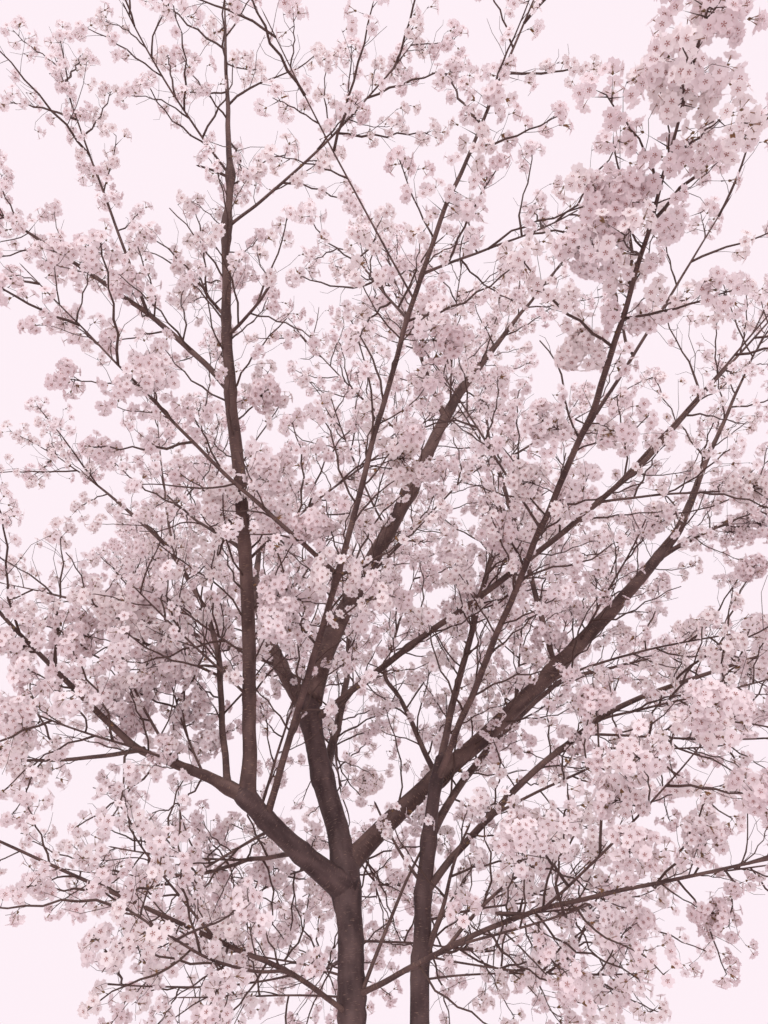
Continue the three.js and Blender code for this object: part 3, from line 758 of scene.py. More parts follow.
# %% [markdown]
# ## Bark
# Cherry bark is smooth and dark, with bands of corky marks that run round the limb and
# swellings where a branch leaves. The relief is added to the radius, as a function of the
# length along the limb and the angle round it. The noise is a lattice of random values that
# closes on itself round the limb, so it shows no seam.

# %% Noise for the bark
BARK_SEED = 11
rng = np.random.default_rng(BARK_SEED)


def ring_noise(along, around, cell, cells_around):
    """Value noise: random numbers at lattice points, blended smoothly, and closed round the limb."""
    rows = int(along.max() / cell) + 3
    lattice = rng.uniform(-1, 1, (rows, cells_around))
    v, u = along[:, None] / cell, around[None] / (2 * np.pi) * cells_around
    row, column = np.broadcast_arrays(v.astype(int), u.astype(int))
    fv, fu = v - row, u - column
    fv, fu = fv * fv * (3 - 2 * fv), fu * fu * (3 - 2 * fu)
    right = (column + 1) % cells_around
    low = lattice[row, column % cells_around] * (1 - fu) + lattice[row, right] * fu
    high = lattice[row + 1, column % cells_around] * (1 - fu) + lattice[row + 1, right] * fu
    return low * (1 - fv) + high * fv


print("noise from seed", BARK_SEED)

# %% [markdown]
# ## Tapers and kinks
# A limb runs on through the first mass that it bears and tapers to a fine tip. It sways a
# little within its own thickness, as noise moves its points sideways.

# %% Tapers and kinks
TIP_RADIUS = 0.0020
LEADING_TAPER = 1.1
KINK = {"cell": 0.13, "share": 0.20, "most": 0.0035, "fade_in": 0.15, "fade_out": 0.1}


def tapering(start, points, power):
    """Radii from a start to a fine tip: tip + (start - tip) (1 - t) to a power."""
    return TIP_RADIUS + (start - TIP_RADIUS) * (1 - np.linspace(0, 1, points)) ** power


def chain_of(name):
    """The line and radius of a limb, carried on through the first mass that it bears, to a fine tip."""
    line, thick = limb_lines[name], limb_thick[name]
    radius = value_along(thick, np.linspace(0, 1, len(line))) / 2
    if name in first_stem:
        stem = stem_lines[first_stem[name]]
        line = np.vstack([line[:-1], stem])
        radius = np.concatenate([radius[:-1], tapering(radius[-1], len(stem), LEADING_TAPER)])
    return line, radius


def swayed(curve, along, radius):
    """The curve moved sideways by noise, by less near both ends."""
    length = along[-1]
    sway = np.stack([ring_noise(along, np.zeros(1), KINK["cell"], 3)[:, 0] for _ in range(3)], axis=1)
    fade = np.minimum(1, along / KINK["fade_in"]) * np.minimum(1, (length - along) / KINK["fade_out"])
    return curve + sway * (np.minimum(KINK["share"] * 2 * radius, KINK["most"]) * fade)[:, None]


print("the trunk's chain has", len(chain_of("trunk")[0]), "points")

# %% [markdown]
# ## The skin of a limb
# Thin limbs are a little finer than the solid model's, as the picture shows them, and two are
# fuller. A limb has a collar at its root and swells where others leave it or where an old cut
# has healed. It ends in a rounded tip. Each row of the relief gives the length of a cell of
# the noise, the number of cells round the limb and the depth.

# %% Skin of a limb
FINENESS = {"thick_from": 0.060, "thick": 0.94, "thin_to": 0.036, "thin": 0.74}
FULLER = {"left_leader": 1.28, "centre_right_bough": 1.12}
KNOBS = {
    "left_leader": [(0.86, 0.02), (0.885, 0.03), (0.985, 0.03)],
    "centre_right_bough": [(0.62, 0.045)],
    "right_bough": [(0.23, 0.03), (0.55, 0.035)],
    "front_bough": [(0.45, 0.016)],
    "cross_bough": [(0.3, 0.016)],
}
COLLAR = {"extra": 0.45, "reach": 1.3}
SWELLING = {"extra": 0.30, "reach": 1.6, "last": 0.97}
RELIEF = [(0.11, 5, 0.026), (0.016, 3, 0.024), (0.035, 9, 0.014)]
POINTED = 0.0002


def surface_of(name, line, radius, spacing, sides, swellings=()):
    """A limb's skin: its radius with a collar at the root, swellings where others leave, and bark relief."""
    curve = smooth(line, spacing)
    run = np.linspace(0, 1, len(curve))
    length = run_of(curve)[-1]
    along = run * length
    strides = run_of(line)
    plain = np.interp(run, strides / strides[-1], radius)
    plain = plain * np.interp(2 * plain, [FINENESS["thin_to"], FINENESS["thick_from"]],
                              [FINENESS["thin"], FINENESS["thick"]]) * FULLER.get(name, 1)
    curve = swayed(curve, along, plain)
    if name == "trunk":
        plain = plain + FLARE["extra"] * np.exp(-along / FLARE["height"])
    else:
        plain = plain * (1 + COLLAR["extra"] * np.exp(-along / (COLLAR["reach"] * 2 * plain[0])))
    bumps = [SWELLING["extra"] * size * np.exp(-(((along - at * length) / (SWELLING["reach"] * size)) ** 2))
             for at, size in swellings]
    plain = plain + np.max(bumps, axis=0, initial=0)
    around = np.arange(sides) * 2 * np.pi / sides
    skin = np.repeat(plain[:, None], sides, axis=1)
    if name == "trunk":
        fade = np.exp(-along / FLARE["height"])[:, None]
        skin = skin * (1 + FLARE["depth"] * fade * np.cos(FLARE["lobes"] * around))
    relief = sum(depth * ring_noise(along, around, cell, cells) for cell, cells, depth in RELIEF)
    skin = skin * (1 + relief)
    end = np.clip((1 - run) * length / plain, 0, 1)
    skin = skin * np.sqrt(1 - (1 - end) ** 2)[:, None]
    return curve[None], np.maximum(skin, POINTED)[None], along, around


print(len(KNOBS), "limbs with healed knobs")

# %% [markdown]
# ## Bark of the trunk and the boughs
# Many limbs share one mesh. A vector on each vertex unrolls its limb, so that a pattern can
# later follow the bark: round in x and y, and along in z. The number of rings and sides suits
# the limb's thickness.

# %% Bark of the trunk and the boughs
UNROLL_SPREAD = 50
RINGS = {"trunk": 0.008, "per_radius": 0.8, "least": 0.010, "most": 0.024}
SIDES = {"trunk": 48, "thick": 16, "middle": 12, "thin": 8}
THICK_LIMB = 0.03
MIDDLE_LIMB = 0.012
TRUNK_GROUP = ("trunk", "second_stem", "left_bough")


def bark_piece(name, limbs):
    """One joined mesh of limbs, with a vector on each vertex that unrolls it: round x, y and along z."""
    parts, unrolled = [], []
    for limb_name, line, radius, spacing, sides, swellings in limbs:
        curve, skin, along, around = surface_of(limb_name, line, radius, spacing, sides, swellings)
        parts.append(tubes(curve, skin, sides))
        offset = rng.uniform(0, UNROLL_SPREAD)
        ring = np.stack([np.cos(around), np.sin(around)], axis=1)[None] * skin[0][..., None]
        height = np.repeat(along[:, None, None] + offset, sides, axis=1)
        flat = np.concatenate([ring, height], axis=-1).reshape(-1, 3)
        unrolled.append(np.vstack([flat, [[0, 0, offset], [0, 0, offset + along[-1]]]]))
    vertices, quads, triangles = joined(parts)
    vertices[:, 2] = np.maximum(vertices[:, 2], 0)
    piece = make_piece(name, vertices, quads, triangles)
    values = piece.data.attributes.new("unrolled", "FLOAT_VECTOR", "POINT")
    values.data.foreach_set("vector", np.vstack(unrolled).astype(np.float32).ravel())
    return piece


def swellings_of(name, chain_length):
    """Where other limbs leave this one, as shares of its whole chain, and their radii."""
    every_limb = {"trunk": TRUNK, **BOUGHS, **FINE_LIMBS}
    own = every_limb[name]["length"]
    places = [(shape["at"], shape["thick"][0] / 2) for shape in every_limb.values()
              if shape["parent"] == name and shape["at"] < SWELLING["last"]]
    return [(at * own / chain_length, size) for at, size in places + KNOBS.get(name, [])]


def limb_rows(names):
    """For each limb: its chain, a ring spacing and a number of sides that suit its thickness."""
    rows = []
    for name in names:
        line, radius = chain_of(name)
        if name == "trunk":
            spacing, sides = RINGS["trunk"], SIDES["trunk"]
        else:
            spacing = float(np.clip(radius[0] * RINGS["per_radius"], RINGS["least"], RINGS["most"]))
            kind = "thick" if radius[0] > THICK_LIMB else "middle" if radius[0] > MIDDLE_LIMB else "thin"
            sides = SIDES[kind]
        rows.append((name, line, radius, spacing, sides, swellings_of(name, run_of(line)[-1])))
    return rows


trunk_piece = bark_piece("trunk_bark", limb_rows(TRUNK_GROUP))
bough_piece = bark_piece("bough_bark", limb_rows([name for name in BOUGHS if name not in TRUNK_GROUP]))

# %% [markdown]
# ## Bark of the finer limbs
# The finer limbs get the same skin. So does a mass's own stem where it isn't the end of a
# bough: it leaves the bough at about a third of the bough's thickness.

# %% Bark of the finer limbs
STEM_SHARE = 0.34
SLIM_STEM = {"front_low": 0.24}
STEM_TAPER = 0.8
STEM_RINGS = 0.02
STEM_SIDES = 10


def stem_row(name):
    """The row of a mass's own stem, which starts at its share of the bough's thickness."""
    start = limb_thick[MASSES[name]["parent"]][-1] * SLIM_STEM.get(name, STEM_SHARE)
    line = stem_lines[name]
    return (name, line, tapering(start, len(line), STEM_TAPER), STEM_RINGS, STEM_SIDES, ())


second_stems = [name for name in MASSES if name not in first_stem.values()]
fine_piece = bark_piece("fine_limb_bark", limb_rows(FINE_LIMBS) + [stem_row(name) for name in second_stems])

# %% [markdown]
# ## Bows
# All the twigs of a kind have the same number of points, so they are one array of lines.
# Each is bowed a little, because a twig bends to the light. A row of the table gives a kind's
# number of points, its bend, its radii at root and tip, and the number of its sides.

# %% Bows
BOW = (0.3, 1)
WAVE = (-0.5, 0.5)
ZIGZAG = {"size": 0.16, "range": (0.2, 1), "aside": 0.6}
TWIG_SHAPES = {
    "mass": (9, 0.06, 0.0042, 0.0018, 5),
    "limb": (9, 0.10, 0.0036, 0.0017, 5),
    "stem": (9, 0.10, 0.0034, 0.0016, 4),
    "clump": (9, 0.05, 0.0042, 0.0018, 5),
    "side": (4, 0.12, 0.0022, 0.0013, 3),
    "bare": (4, 0.16, 0.0021, 0.0012, 3),
}


def bowed(roots, ends, kind):
    """Lines from roots to ends: straight, plus a bow of sin(pi t), a sway of sin(2 pi t) and a zigzag
    that changes side at each point, as a twig does where a bud sat."""
    points, bend = TWIG_SHAPES[kind][:2]
    t = np.linspace(0, 1, points)[None, :, None]
    span = (ends - roots)[:, None]
    length = np.linalg.norm(span, axis=-1, keepdims=True)
    across = unit(np.cross(span[:, 0], rng.normal(size=(len(roots), 3))))[:, None]
    sway = unit(np.cross(span[:, 0], across[:, 0]))[:, None]
    bow = across * np.sin(np.pi * t) * rng.uniform(*BOW, (len(roots), 1, 1))
    wave = sway * np.sin(2 * np.pi * t) * rng.uniform(*WAVE, (len(roots), 1, 1))
    zigzag = rng.uniform(*ZIGZAG["range"], (len(roots), points, 1))
    zigzag = zigzag * (-1.0) ** np.arange(points)[None, :, None]
    zigzag = across * zigzag + sway * zigzag[:, ::-1] * ZIGZAG["aside"]
    zigzag = zigzag * np.sin(np.pi * t) ** 0.5 * ZIGZAG["size"]
    return roots[:, None] + span * t + ((bow + wave) * bend + zigzag / points) * length


mass_lines = bowed(mass_roots, mass_ends, "mass")
print(len(mass_lines), "twigs of the masses are bowed")

# %% [markdown]
# ## Spirals
# The other kinds of twigs leave their lines in a spiral too. A row of their table gives the
# first and last share of the line, the spacing, the longest twig in metres and as a part of
# the line, the part of it that is lost by the line's end, the angle, and how much the twig
# lifts to the light.

# %% Spirals
SHORTEN = 0.8
SHORTENINGS = 6
TWIG_MARGIN = 0.05
TESTED_SHARES = (0.45, 0.75, 1.0)
TWIG_SIZES = (0.55, 1.15)
TURN_SPREAD = 12
TWIG_EDGE = 0.2
TWIG_KINDS = {
    "low_limb": (0.30, 0.98, 0.055, 0.42, 0, 0.25, 60, 0),
    "high_limb": (0.12, 0.98, 0.066, 0.42, 0, 0.25, 52, 0.25),
    "stem": (0.05, 0.97, 0.13, 0.30, 0, 0.3, 48, 0.2),
    "mass_side": (0.15, 0.85, 0.085, 0, 0.45, 0.4, 46, 0.2),
    "limb_side": (0.2, 0.85, 0.10, 0, 0.45, 0.4, 46, 0.2),
    "bare_on_limbs": (0.15, 0.98, 0.10, 0.16, 0, 0, 55, 0.3),
    "bare_on_twigs": (0.10, 0.92, 0.17, 0.12, 0, 0, 48, 0.3),
}


def points_on(lines, which, share):
    """Points and directions at shares of the lines with the given numbers, for many at once."""
    place = share * (lines.shape[1] - 1)
    lower = np.minimum(place.astype(int), lines.shape[1] - 2)
    step = lines[which, lower + 1] - lines[which, lower]
    return lines[which, lower] + step * (place - lower)[:, None], unit(step)


def lengths_of(lines):
    """The length of each line, as the sum of its strides."""
    return np.linalg.norm(np.diff(lines, axis=1), axis=-1).sum(axis=1)


def spots_along(lines, first, last, spacing, edge):
    """Even places from one share to another, each moved at random within its own stretch but for an
    edge of it: line numbers, order and shares."""
    counts = np.maximum(1, np.round(lengths_of(lines) * (last - first) / spacing)).astype(int)
    which, order = numbered(counts)
    moved = order + rng.uniform(edge, 1 - edge, len(order))
    return which, order, first + (last - first) * moved / counts[which]


def has_room(roots, ends, own):
    """Whether the outer part of each twig is inside the crown, off the limbs and in its own mass."""
    good = np.ones(len(roots), bool)
    for share in TESTED_SHARES:
        points = roots + (ends - roots) * share
        good &= inside_crown(points, TWIG_MARGIN, TWIG_SINK) & (limb_clearance(points) > AIR_GAP)
        if own is not None:
            good &= room_in_mass(points, own) > AIR_GAP
    return good


def spiral_twigs(lines, kind, own=None):
    """Twigs that leave many lines in a spiral and are shortened until they fit: roots, ends, line numbers."""
    first, last, spacing, length, part, loss, angle, lift = TWIG_KINDS[kind]
    which, order, share = spots_along(lines, first, last, spacing, TWIG_EDGE)
    roots, along = points_on(lines, which, share)
    turn = GOLDEN_TURN * order + rng.uniform(0, 360, len(lines))[which]
    out = turned_out(along, angle + rng.uniform(-TURN_SPREAD, TURN_SPREAD, len(which)), turn)
    out = unit(out + np.array([0, 0, lift]))
    longest = (length + part * lengths_of(lines)[which]) * (1 - loss * share)
    size = longest * rng.uniform(*TWIG_SIZES, len(which))
    mine = None if own is None else own[which]
    good = has_room(roots, roots + out * size[:, None], mine)
    for _ in range(SHORTENINGS):
        size[~good] *= SHORTEN
        again = np.flatnonzero(~good)
        theirs = None if mine is None else mine[again]
        good[again] = has_room(roots[again], roots[again] + out[again] * size[again, None], theirs)
    keep = good & (size > LEAST_TWIG)
    return roots[keep], (roots + out * size[:, None])[keep], which[keep]


print("a twig that doesn't fit is shortened to", round(SHORTEN**SHORTENINGS, 2), "of its length at the least")

# %% [markdown]
# ## Twigs of the limbs and stems
# A few limbs stay bare, as the picture shows them. On low limbs the twigs start farther out
# and spread level. Where a mass is sparse, its stem gets no more twigs than the rule gave.

# %% Long twigs
LIMB_POINTS = 24
STEM_POINTS = 16
LOW_LIMB_HEIGHT = 2.6
BARE_LIMBS = ("trunk", "left_bough", "second_stem", "fork_riser", "stem_link", "leader_knob")
MASS_CROWDING = {
    "crowded": ("low_front", "right_side", "fork_side", "low_right", "back_right_side"),
    "airy": ("riser_top", "leader_right", "left_high", "riser_side", "near_front"),
    "sparse": (
        "upper_shoot", "back_left_side", "back_low", "low_left", "front_low", "near_up", "leader_top",
        "front_top", "cross_top", "right_top", "cross_front", "left_low",
    ),
}

bearing_lines = np.array([resampled(line, LIMB_POINTS) for name, line in limb_lines.items()
                          if name not in BARE_LIMBS])
low_limb = bearing_lines[:, :, 2].mean(axis=1) < LOW_LIMB_HEIGHT
low_twigs = spiral_twigs(bearing_lines[low_limb], "low_limb")
high_twigs = spiral_twigs(bearing_lines[~low_limb], "high_limb")
limb_roots, limb_ends = (np.concatenate([a, b]) for a, b in zip(low_twigs[:2], high_twigs[:2]))
limb_twig_lines = bowed(limb_roots, limb_ends, "limb")

stem_curves = np.array([resampled(line, STEM_POINTS) for line in stem_lines.values()])
fuller = np.array([name not in MASS_CROWDING["sparse"] for name in MASSES])
stem_roots, stem_ends, stem_twig_of = spiral_twigs(stem_curves[fuller], "stem", np.flatnonzero(fuller))
stem_twig_lines = bowed(stem_roots, stem_ends, "stem")
counts = [len(lines) for lines in (mass_lines, limb_twig_lines, stem_twig_lines)]
print("twigs of the masses, the limbs and the stems:", *counts)

# %% [markdown]
# ## Large clumps
# Here and there old spurs crowd into a large clump, close to a limb. The picture shows where,
# so each row names a limb or a stem, a share of it, the way the clump hangs out by heading and
# rise, its radius and the number of its umbels. A short twig carries it.

# %% Side twigs and clumps
CLUMP_STALK = 1.1
CLUMPS = [
    ("front_bough", 0.36, 200, 0, 0.15, 30), ("front_bough", 0.4, 180, 10, 0.16, 30),
    ("front_bough", 0.42, 275, 0, 0.12, 24), ("front_bough", 0.44, 350, 5, 0.12, 22),
    ("front_bough", 0.5, 190, 20, 0.12, 20), ("left_leader", 0.42, 230, 0, 0.1, 20),
    ("left_leader", 0.4, 350, 5, 0.12, 22), ("left_leader", 0.58, 345, 12, 0.12, 20),
    ("front_left_bough", 0.85, 330, 12, 0.11, 20), ("front_left", 0.35, 280, 12, 0.1, 16),
    ("upper_left_bough", 0.95, 250, 12, 0.11, 18), ("left_riser", 0.62, 180, 12, 0.1, 14),
    ("reach_rise", 0.35, 200, 0, 0.13, 24), ("left_high", 0.12, 60, 20, 0.13, 24),
    ("leader_low_side", 0.6, 210, 10, 0.11, 18), ("reach_inner_rise", 0.7, 200, 10, 0.11, 18),
    ("riser_low_left", 0.15, 200, 0, 0.12, 22), ("left_riser", 0.22, 200, 0, 0.1, 20),
    ("reach_inner_rise", 0.3, 60, 10, 0.1, 18), ("back_left_bough", 0.25, 250, 0, 0.12, 20),
    ("back_trunk_left", 0.35, 210, 0, 0.12, 22), ("back_trunk", 0.8, 30, 10, 0.12, 22),
    ("back_middle_low", 0.8, 0, 0, 0.13, 22), ("back_right_bough", 0.15, 200, -20, 0.12, 22),
    ("left_high", 0.38, 250, 0, 0.13, 24), ("left_low", 0.35, 200, 0, 0.13, 22),
    ("reach_under", 0.85, 200, 0, 0.12, 22), ("left_low", 0.55, 200, 0, 0.12, 18),
    ("stem_link", 0.5, 180, 20, 0.1, 16), ("right_outer", 0.45, 0, 0, 0.15, 26),
    ("right_side", 0.35, 20, 10, 0.15, 26), ("cross_outer", 0.6, 0, 10, 0.13, 24),
    ("reach_rise", 0.55, 10, 10, 0.15, 30), ("reach_rise", 0.7, 190, 10, 0.15, 30),
    ("reach_rise", 0.75, 290, 10, 0.14, 26), ("reach_rise", 0.95, 20, 20, 0.13, 24),
    ("left_reach", 0.55, 240, 12, 0.1, 16), ("low_left_bough", 0.6, 250, 12, 0.09, 14),
    ("cross_bough", 0.62, 260, 12, 0.1, 16), ("cross_bough", 0.8, 240, 12, 0.1, 16),
    ("tall_riser", 0.3, 190, 12, 0.09, 12), ("stem_bough", 0.75, 200, 12, 0.1, 14),
    ("right_bough", 0.58, 180, 60, 0.12, 22), ("right_bough", 0.97, 230, 12, 0.13, 24),
    ("centre_right_bough", 0.66, 330, 12, 0.12, 18), ("leader_right", 0.5, 320, 12, 0.09, 12),
    ("near_bough", 0.9, 10, 12, 0.08, 10), ("near_bough", 0.7, 340, 12, 0.1, 14),
    ("near_bough", 0.62, 180, 20, 0.12, 22), ("near_bough", 0.75, 190, 20, 0.11, 20),
    ("near_bough", 0.88, 180, 40, 0.12, 22), ("front_bough", 0.82, 10, 10, 0.13, 26),
    ("front_bough", 0.62, 0, 20, 0.12, 22), ("stem_bough", 0.9, 10, 20, 0.12, 20),
    ("cross_bough", 0.45, 40, 40, 0.12, 22), ("near_front", 0.16, 180, 0, 0.1, 24),
    ("near_front", 0.42, 185, 0, 0.13, 34), ("near_front", 0.55, 180, 0, 0.11, 26),
    ("near_front", 0.25, 0, 0, 0.05, 6), ("near_front", 0.5, 10, 0, 0.05, 6),
    ("low_fork_bough", 0.7, 300, 12, 0.09, 14), ("low_front", 0.6, 200, 12, 0.1, 16),
]
side_twigs = [spiral_twigs(mass_lines, "mass_side", mass_own), spiral_twigs(limb_twig_lines, "limb_side")]
side_lines = np.concatenate([bowed(roots, ends, "side") for roots, ends, _ in side_twigs])

all_lines = {**limb_lines, **stem_lines}
clump_limbs, clump_shares, clump_headings, clump_rises, clump_sizes, clump_umbels = zip(*CLUMPS)
clump_roots = np.array([point_on(all_lines[name], share) for name, share in zip(clump_limbs, clump_shares)])
clump_reach = CLUMP_STALK * np.array(clump_sizes)
clump_ends = clump_roots + directions(clump_headings, clump_rises) * clump_reach[:, None]
clump_lines = bowed(clump_roots, clump_ends, "clump")
print(len(side_lines), "side twigs and", len(CLUMPS), "clumps")

# %% [markdown]
# ## Bare twigs and the twig meshes
# A cherry also has many fine twigs with no flowers yet. They show as dark lines against the
# sky. Every twig is a tapering tube with few sides, since it is only a few millimetres thick.

# %% Bare twigs and the twig meshes
USUAL_TWIG = 0.3
THICKNESS_RANGE = (0.5, 1.25)
TWIG_TAPER = 0.9
ROUGHNESS = (0.9, 1.12)

long_lines = np.concatenate([mass_lines, limb_twig_lines, stem_twig_lines])
bare_twigs = [spiral_twigs(bearing_lines, "bare_on_limbs"), spiral_twigs(long_lines, "bare_on_twigs")]
bare_lines = np.concatenate([bowed(roots, ends, "bare") for roots, ends, _ in bare_twigs])


def twig_tubes(lines, kind):
    """Tapering tubes along twig lines, a little rough, and thicker where the twigs are long."""
    root, tip, sides = TWIG_SHAPES[kind][2:]
    share = np.linspace(0, 1, lines.shape[1])
    size = np.clip(lengths_of(lines) / USUAL_TWIG, *THICKNESS_RANGE)[:, None]
    radii = (tip + (root - tip) * (1 - share) ** TWIG_TAPER) * size
    return tubes(lines, radii * rng.uniform(*ROUGHNESS, radii.shape), sides)


twig_piece = make_piece("twigs", *joined([
    twig_tubes(mass_lines, "mass"), twig_tubes(limb_twig_lines, "limb"),
    twig_tubes(stem_twig_lines, "stem"), twig_tubes(clump_lines, "clump")]))
side_piece = make_piece("side_twigs", *joined([
    twig_tubes(side_lines, "side"), twig_tubes(bare_lines, "bare")]))

# %% [markdown]
# ## Umbels
# A cherry flowers in umbels: a few flowers whose stalks spring from one bud. Umbels sit on
# short spurs along the twigs and crowd into pompons at their ends. Here an umbel is only a
# root, a foot, an axis and the number of its spray. Pompons use a Fibonacci sphere: direction
# i of n has height 1 - 2(i + 0.5)/n and turns by the golden angle.

# %% Ways to set umbels
SPUR = {"range": (0.006, 0.016), "angle": 62}
POMPON = {"share": 0.42, "lean": 0.45, "scatter": 0.22, "range": (0.55, 1.15), "back": (-0.5, 0.1)}
SLEEVE = {"angle": 80, "range": (0.15, 1), "sprays": 10}
UMBEL_EDGE = 0.1
umbels = {"root": [], "foot": [], "axis": [], "spray": []}


def sphere_directions(count):
    """Even directions over a sphere, on a spiral that turns by the golden angle."""
    height = 1 - 2 * (np.arange(count) + 0.5) / count
    turn = np.radians(GOLDEN_TURN) * np.arange(count)
    ring = np.sqrt(1 - height**2)
    return np.stack([ring * np.cos(turn), ring * np.sin(turn), height], axis=1)


def add_umbels(roots, feet, axes, sprays):
    """Keeps a lot of umbels: where each spur leaves its twig, where the stalks start, and their axis."""
    for key, values in zip(umbels, (roots, feet, axes, sprays)):
        umbels[key].append(values)


def add_pompons(lines, sizes, count, sprays):
    """Umbels in all directions round each twig's end, more of them outwards than back."""
    ends, along = lines[:, -1], unit(lines[:, -1] - lines[:, -2])
    shape = (len(lines), count)
    spread = sphere_directions(count)[None] + along[:, None] * POMPON["lean"]
    spread = unit(spread + rng.normal(0, POMPON["scatter"], (*shape, 3)))
    sizes = np.broadcast_to(sizes, len(lines))[:, None]
    reach = sizes * POMPON["share"] * rng.uniform(*POMPON["range"], shape)
    back = np.minimum(0, sizes * rng.uniform(*POMPON["back"], shape))
    roots = ends[:, None] + back[..., None] * along[:, None]
    feet = roots + spread * reach[..., None]
    add_umbels(roots.reshape(-1, 3), feet.reshape(-1, 3), spread.reshape(-1, 3), np.repeat(sprays, count))


def add_along(lines, first, last, spacing, chance, sprays):
    """Umbels on short spurs along each twig, in a spiral, with bare stretches between."""
    which, order, share = spots_along(lines, first, last, spacing, UMBEL_EDGE)
    keep = rng.uniform(size=len(which)) < np.broadcast_to(chance, len(lines))[which]
    which, order, share = which[keep], order[keep], share[keep]
    roots, along = points_on(lines, which, share)
    axes = turned_out(along, SPUR["angle"], GOLDEN_TURN * order + rng.uniform(0, 360, len(lines))[which])
    feet = roots + axes * rng.uniform(*SPUR["range"], len(which))[:, None]
    add_umbels(roots, feet, axes, sprays[which])


def add_sleeve(line, first, last, count, thick, spray):
    """Umbels close round a stem itself, as on wood of the second year: point + across times thickness."""
    share = rng.uniform(first, last, count)
    roots, along = points_on(resampled(line, LIMB_POINTS)[None], np.zeros(count, int), share)
    axes = turned_out(along, SLEEVE["angle"], rng.uniform(0, 360, count))
    feet = roots + axes * thick * rng.uniform(*SLEEVE["range"], (count, 1))
    add_umbels(roots, feet, axes, spray + (share * SLEEVE["sprays"]).astype(int))


print("eight even directions rise from", *np.round(sphere_directions(8)[[-1, 0], 2], 3))

# %% [markdown]
# ## Setting the umbels
# Crowded masses get more umbels in each pompon than sparse ones. Other pompons have a size
# and a number of umbels. Along a twig, a row gives the first and last share and the spacing.
# Most twigs of the limbs bloom, and some don't. A sleeve is a stem that blooms along its own
# length: its row gives the stem, two shares, the number of umbels and its thickness.

# %% Places of the umbels
POMPON_UMBELS = {"sparse": 3, "airy": 5, "usual": 8, "crowded": 15}
POMPONS = {"limb": (0.065, 3), "stem": (0.06, 3), "side": (0.035, 1)}
ALONG = {"mass": (0.25, 0.85, 0.055), "limb": (0.3, 0.85, 0.07), "stem": (0.3, 0.9, 0.06)}
ALONG_CHANCE = {"fuller": 0.6, "sparse": 0.35, "limb": (0.0, 0.35, 0.8), "stem": 0.5}
IN_BLOOM = {"limb": 0.85, "side": 0.75}
LIMB_SPRAYS, STEM_SPRAYS, CLUMP_SPRAYS, SLEEVE_SPRAYS = 1000, 3000, 5000, 6000
SLEEVES = [
    ("near_front", 0.6, 1.0, 75, 0.1), ("near_front", 0.1, 0.6, 26, 0.05),
    ("upper_shoot", 0.15, 1.0, 32, 0.05), ("upper_left", 0.15, 0.95, 50, 0.09),
    ("front_top", 0.0, 0.5, 34, 0.1), ("left_high", 0.1, 0.9, 34, 0.1),
]
mass_sprays = np.arange(len(mass_lines))
limb_sprays = LIMB_SPRAYS + np.arange(len(limb_twig_lines))
stem_sprays = STEM_SPRAYS + stem_twig_of
side_sprays = np.concatenate([side_twigs[0][2], LIMB_SPRAYS + side_twigs[1][2]])

crowding_of = {name: crowding for crowding, names in MASS_CROWDING.items() for name in names}
mass_crowding = np.array([crowding_of.get(name, "usual") for name in MASSES])[mass_own]
for crowding, umbel_count in POMPON_UMBELS.items():
    mine = mass_crowding == crowding
    add_pompons(mass_lines[mine], mass_ball[mine], umbel_count, mass_sprays[mine])
along_chance = np.where(fuller[mass_own], ALONG_CHANCE["fuller"], ALONG_CHANCE["sparse"])
add_along(mass_lines, *ALONG["mass"], along_chance, mass_sprays)
blooming = rng.uniform(size=len(limb_twig_lines)) < IN_BLOOM["limb"]
add_pompons(limb_twig_lines[blooming], *POMPONS["limb"], limb_sprays[blooming])
along_chance = rng.choice(ALONG_CHANCE["limb"], len(limb_twig_lines))
add_along(limb_twig_lines, *ALONG["limb"], along_chance, limb_sprays)
add_pompons(stem_twig_lines, *POMPONS["stem"], stem_sprays)
add_along(stem_twig_lines, *ALONG["stem"], ALONG_CHANCE["stem"], stem_sprays)
blooming = rng.uniform(size=len(side_lines)) < IN_BLOOM["side"]
add_pompons(side_lines[blooming], *POMPONS["side"], side_sprays[blooming])
for number, (size, count) in enumerate(zip(clump_sizes, clump_umbels)):
    add_pompons(clump_lines[number][None], size, count, [CLUMP_SPRAYS + number])
for number, (name, first, last, count, thick) in enumerate(SLEEVES):
    add_sleeve(stem_lines[name], first, last, count, thick, SLEEVE_SPRAYS + SLEEVE["sprays"] * number)
umbels = {key: np.concatenate(lots) for key, lots in umbels.items()}
print(len(umbels["foot"]), "umbels")

# %% [markdown]
# ## Where the limbs show
# From where the picture was taken, most limbs show clearly between the bunches, because few
# flowers grow on old wood. Each row names a limb or a stem, the stretch that shows, by two
# shares of its length, and the part of the umbels before it that bear no flowers.

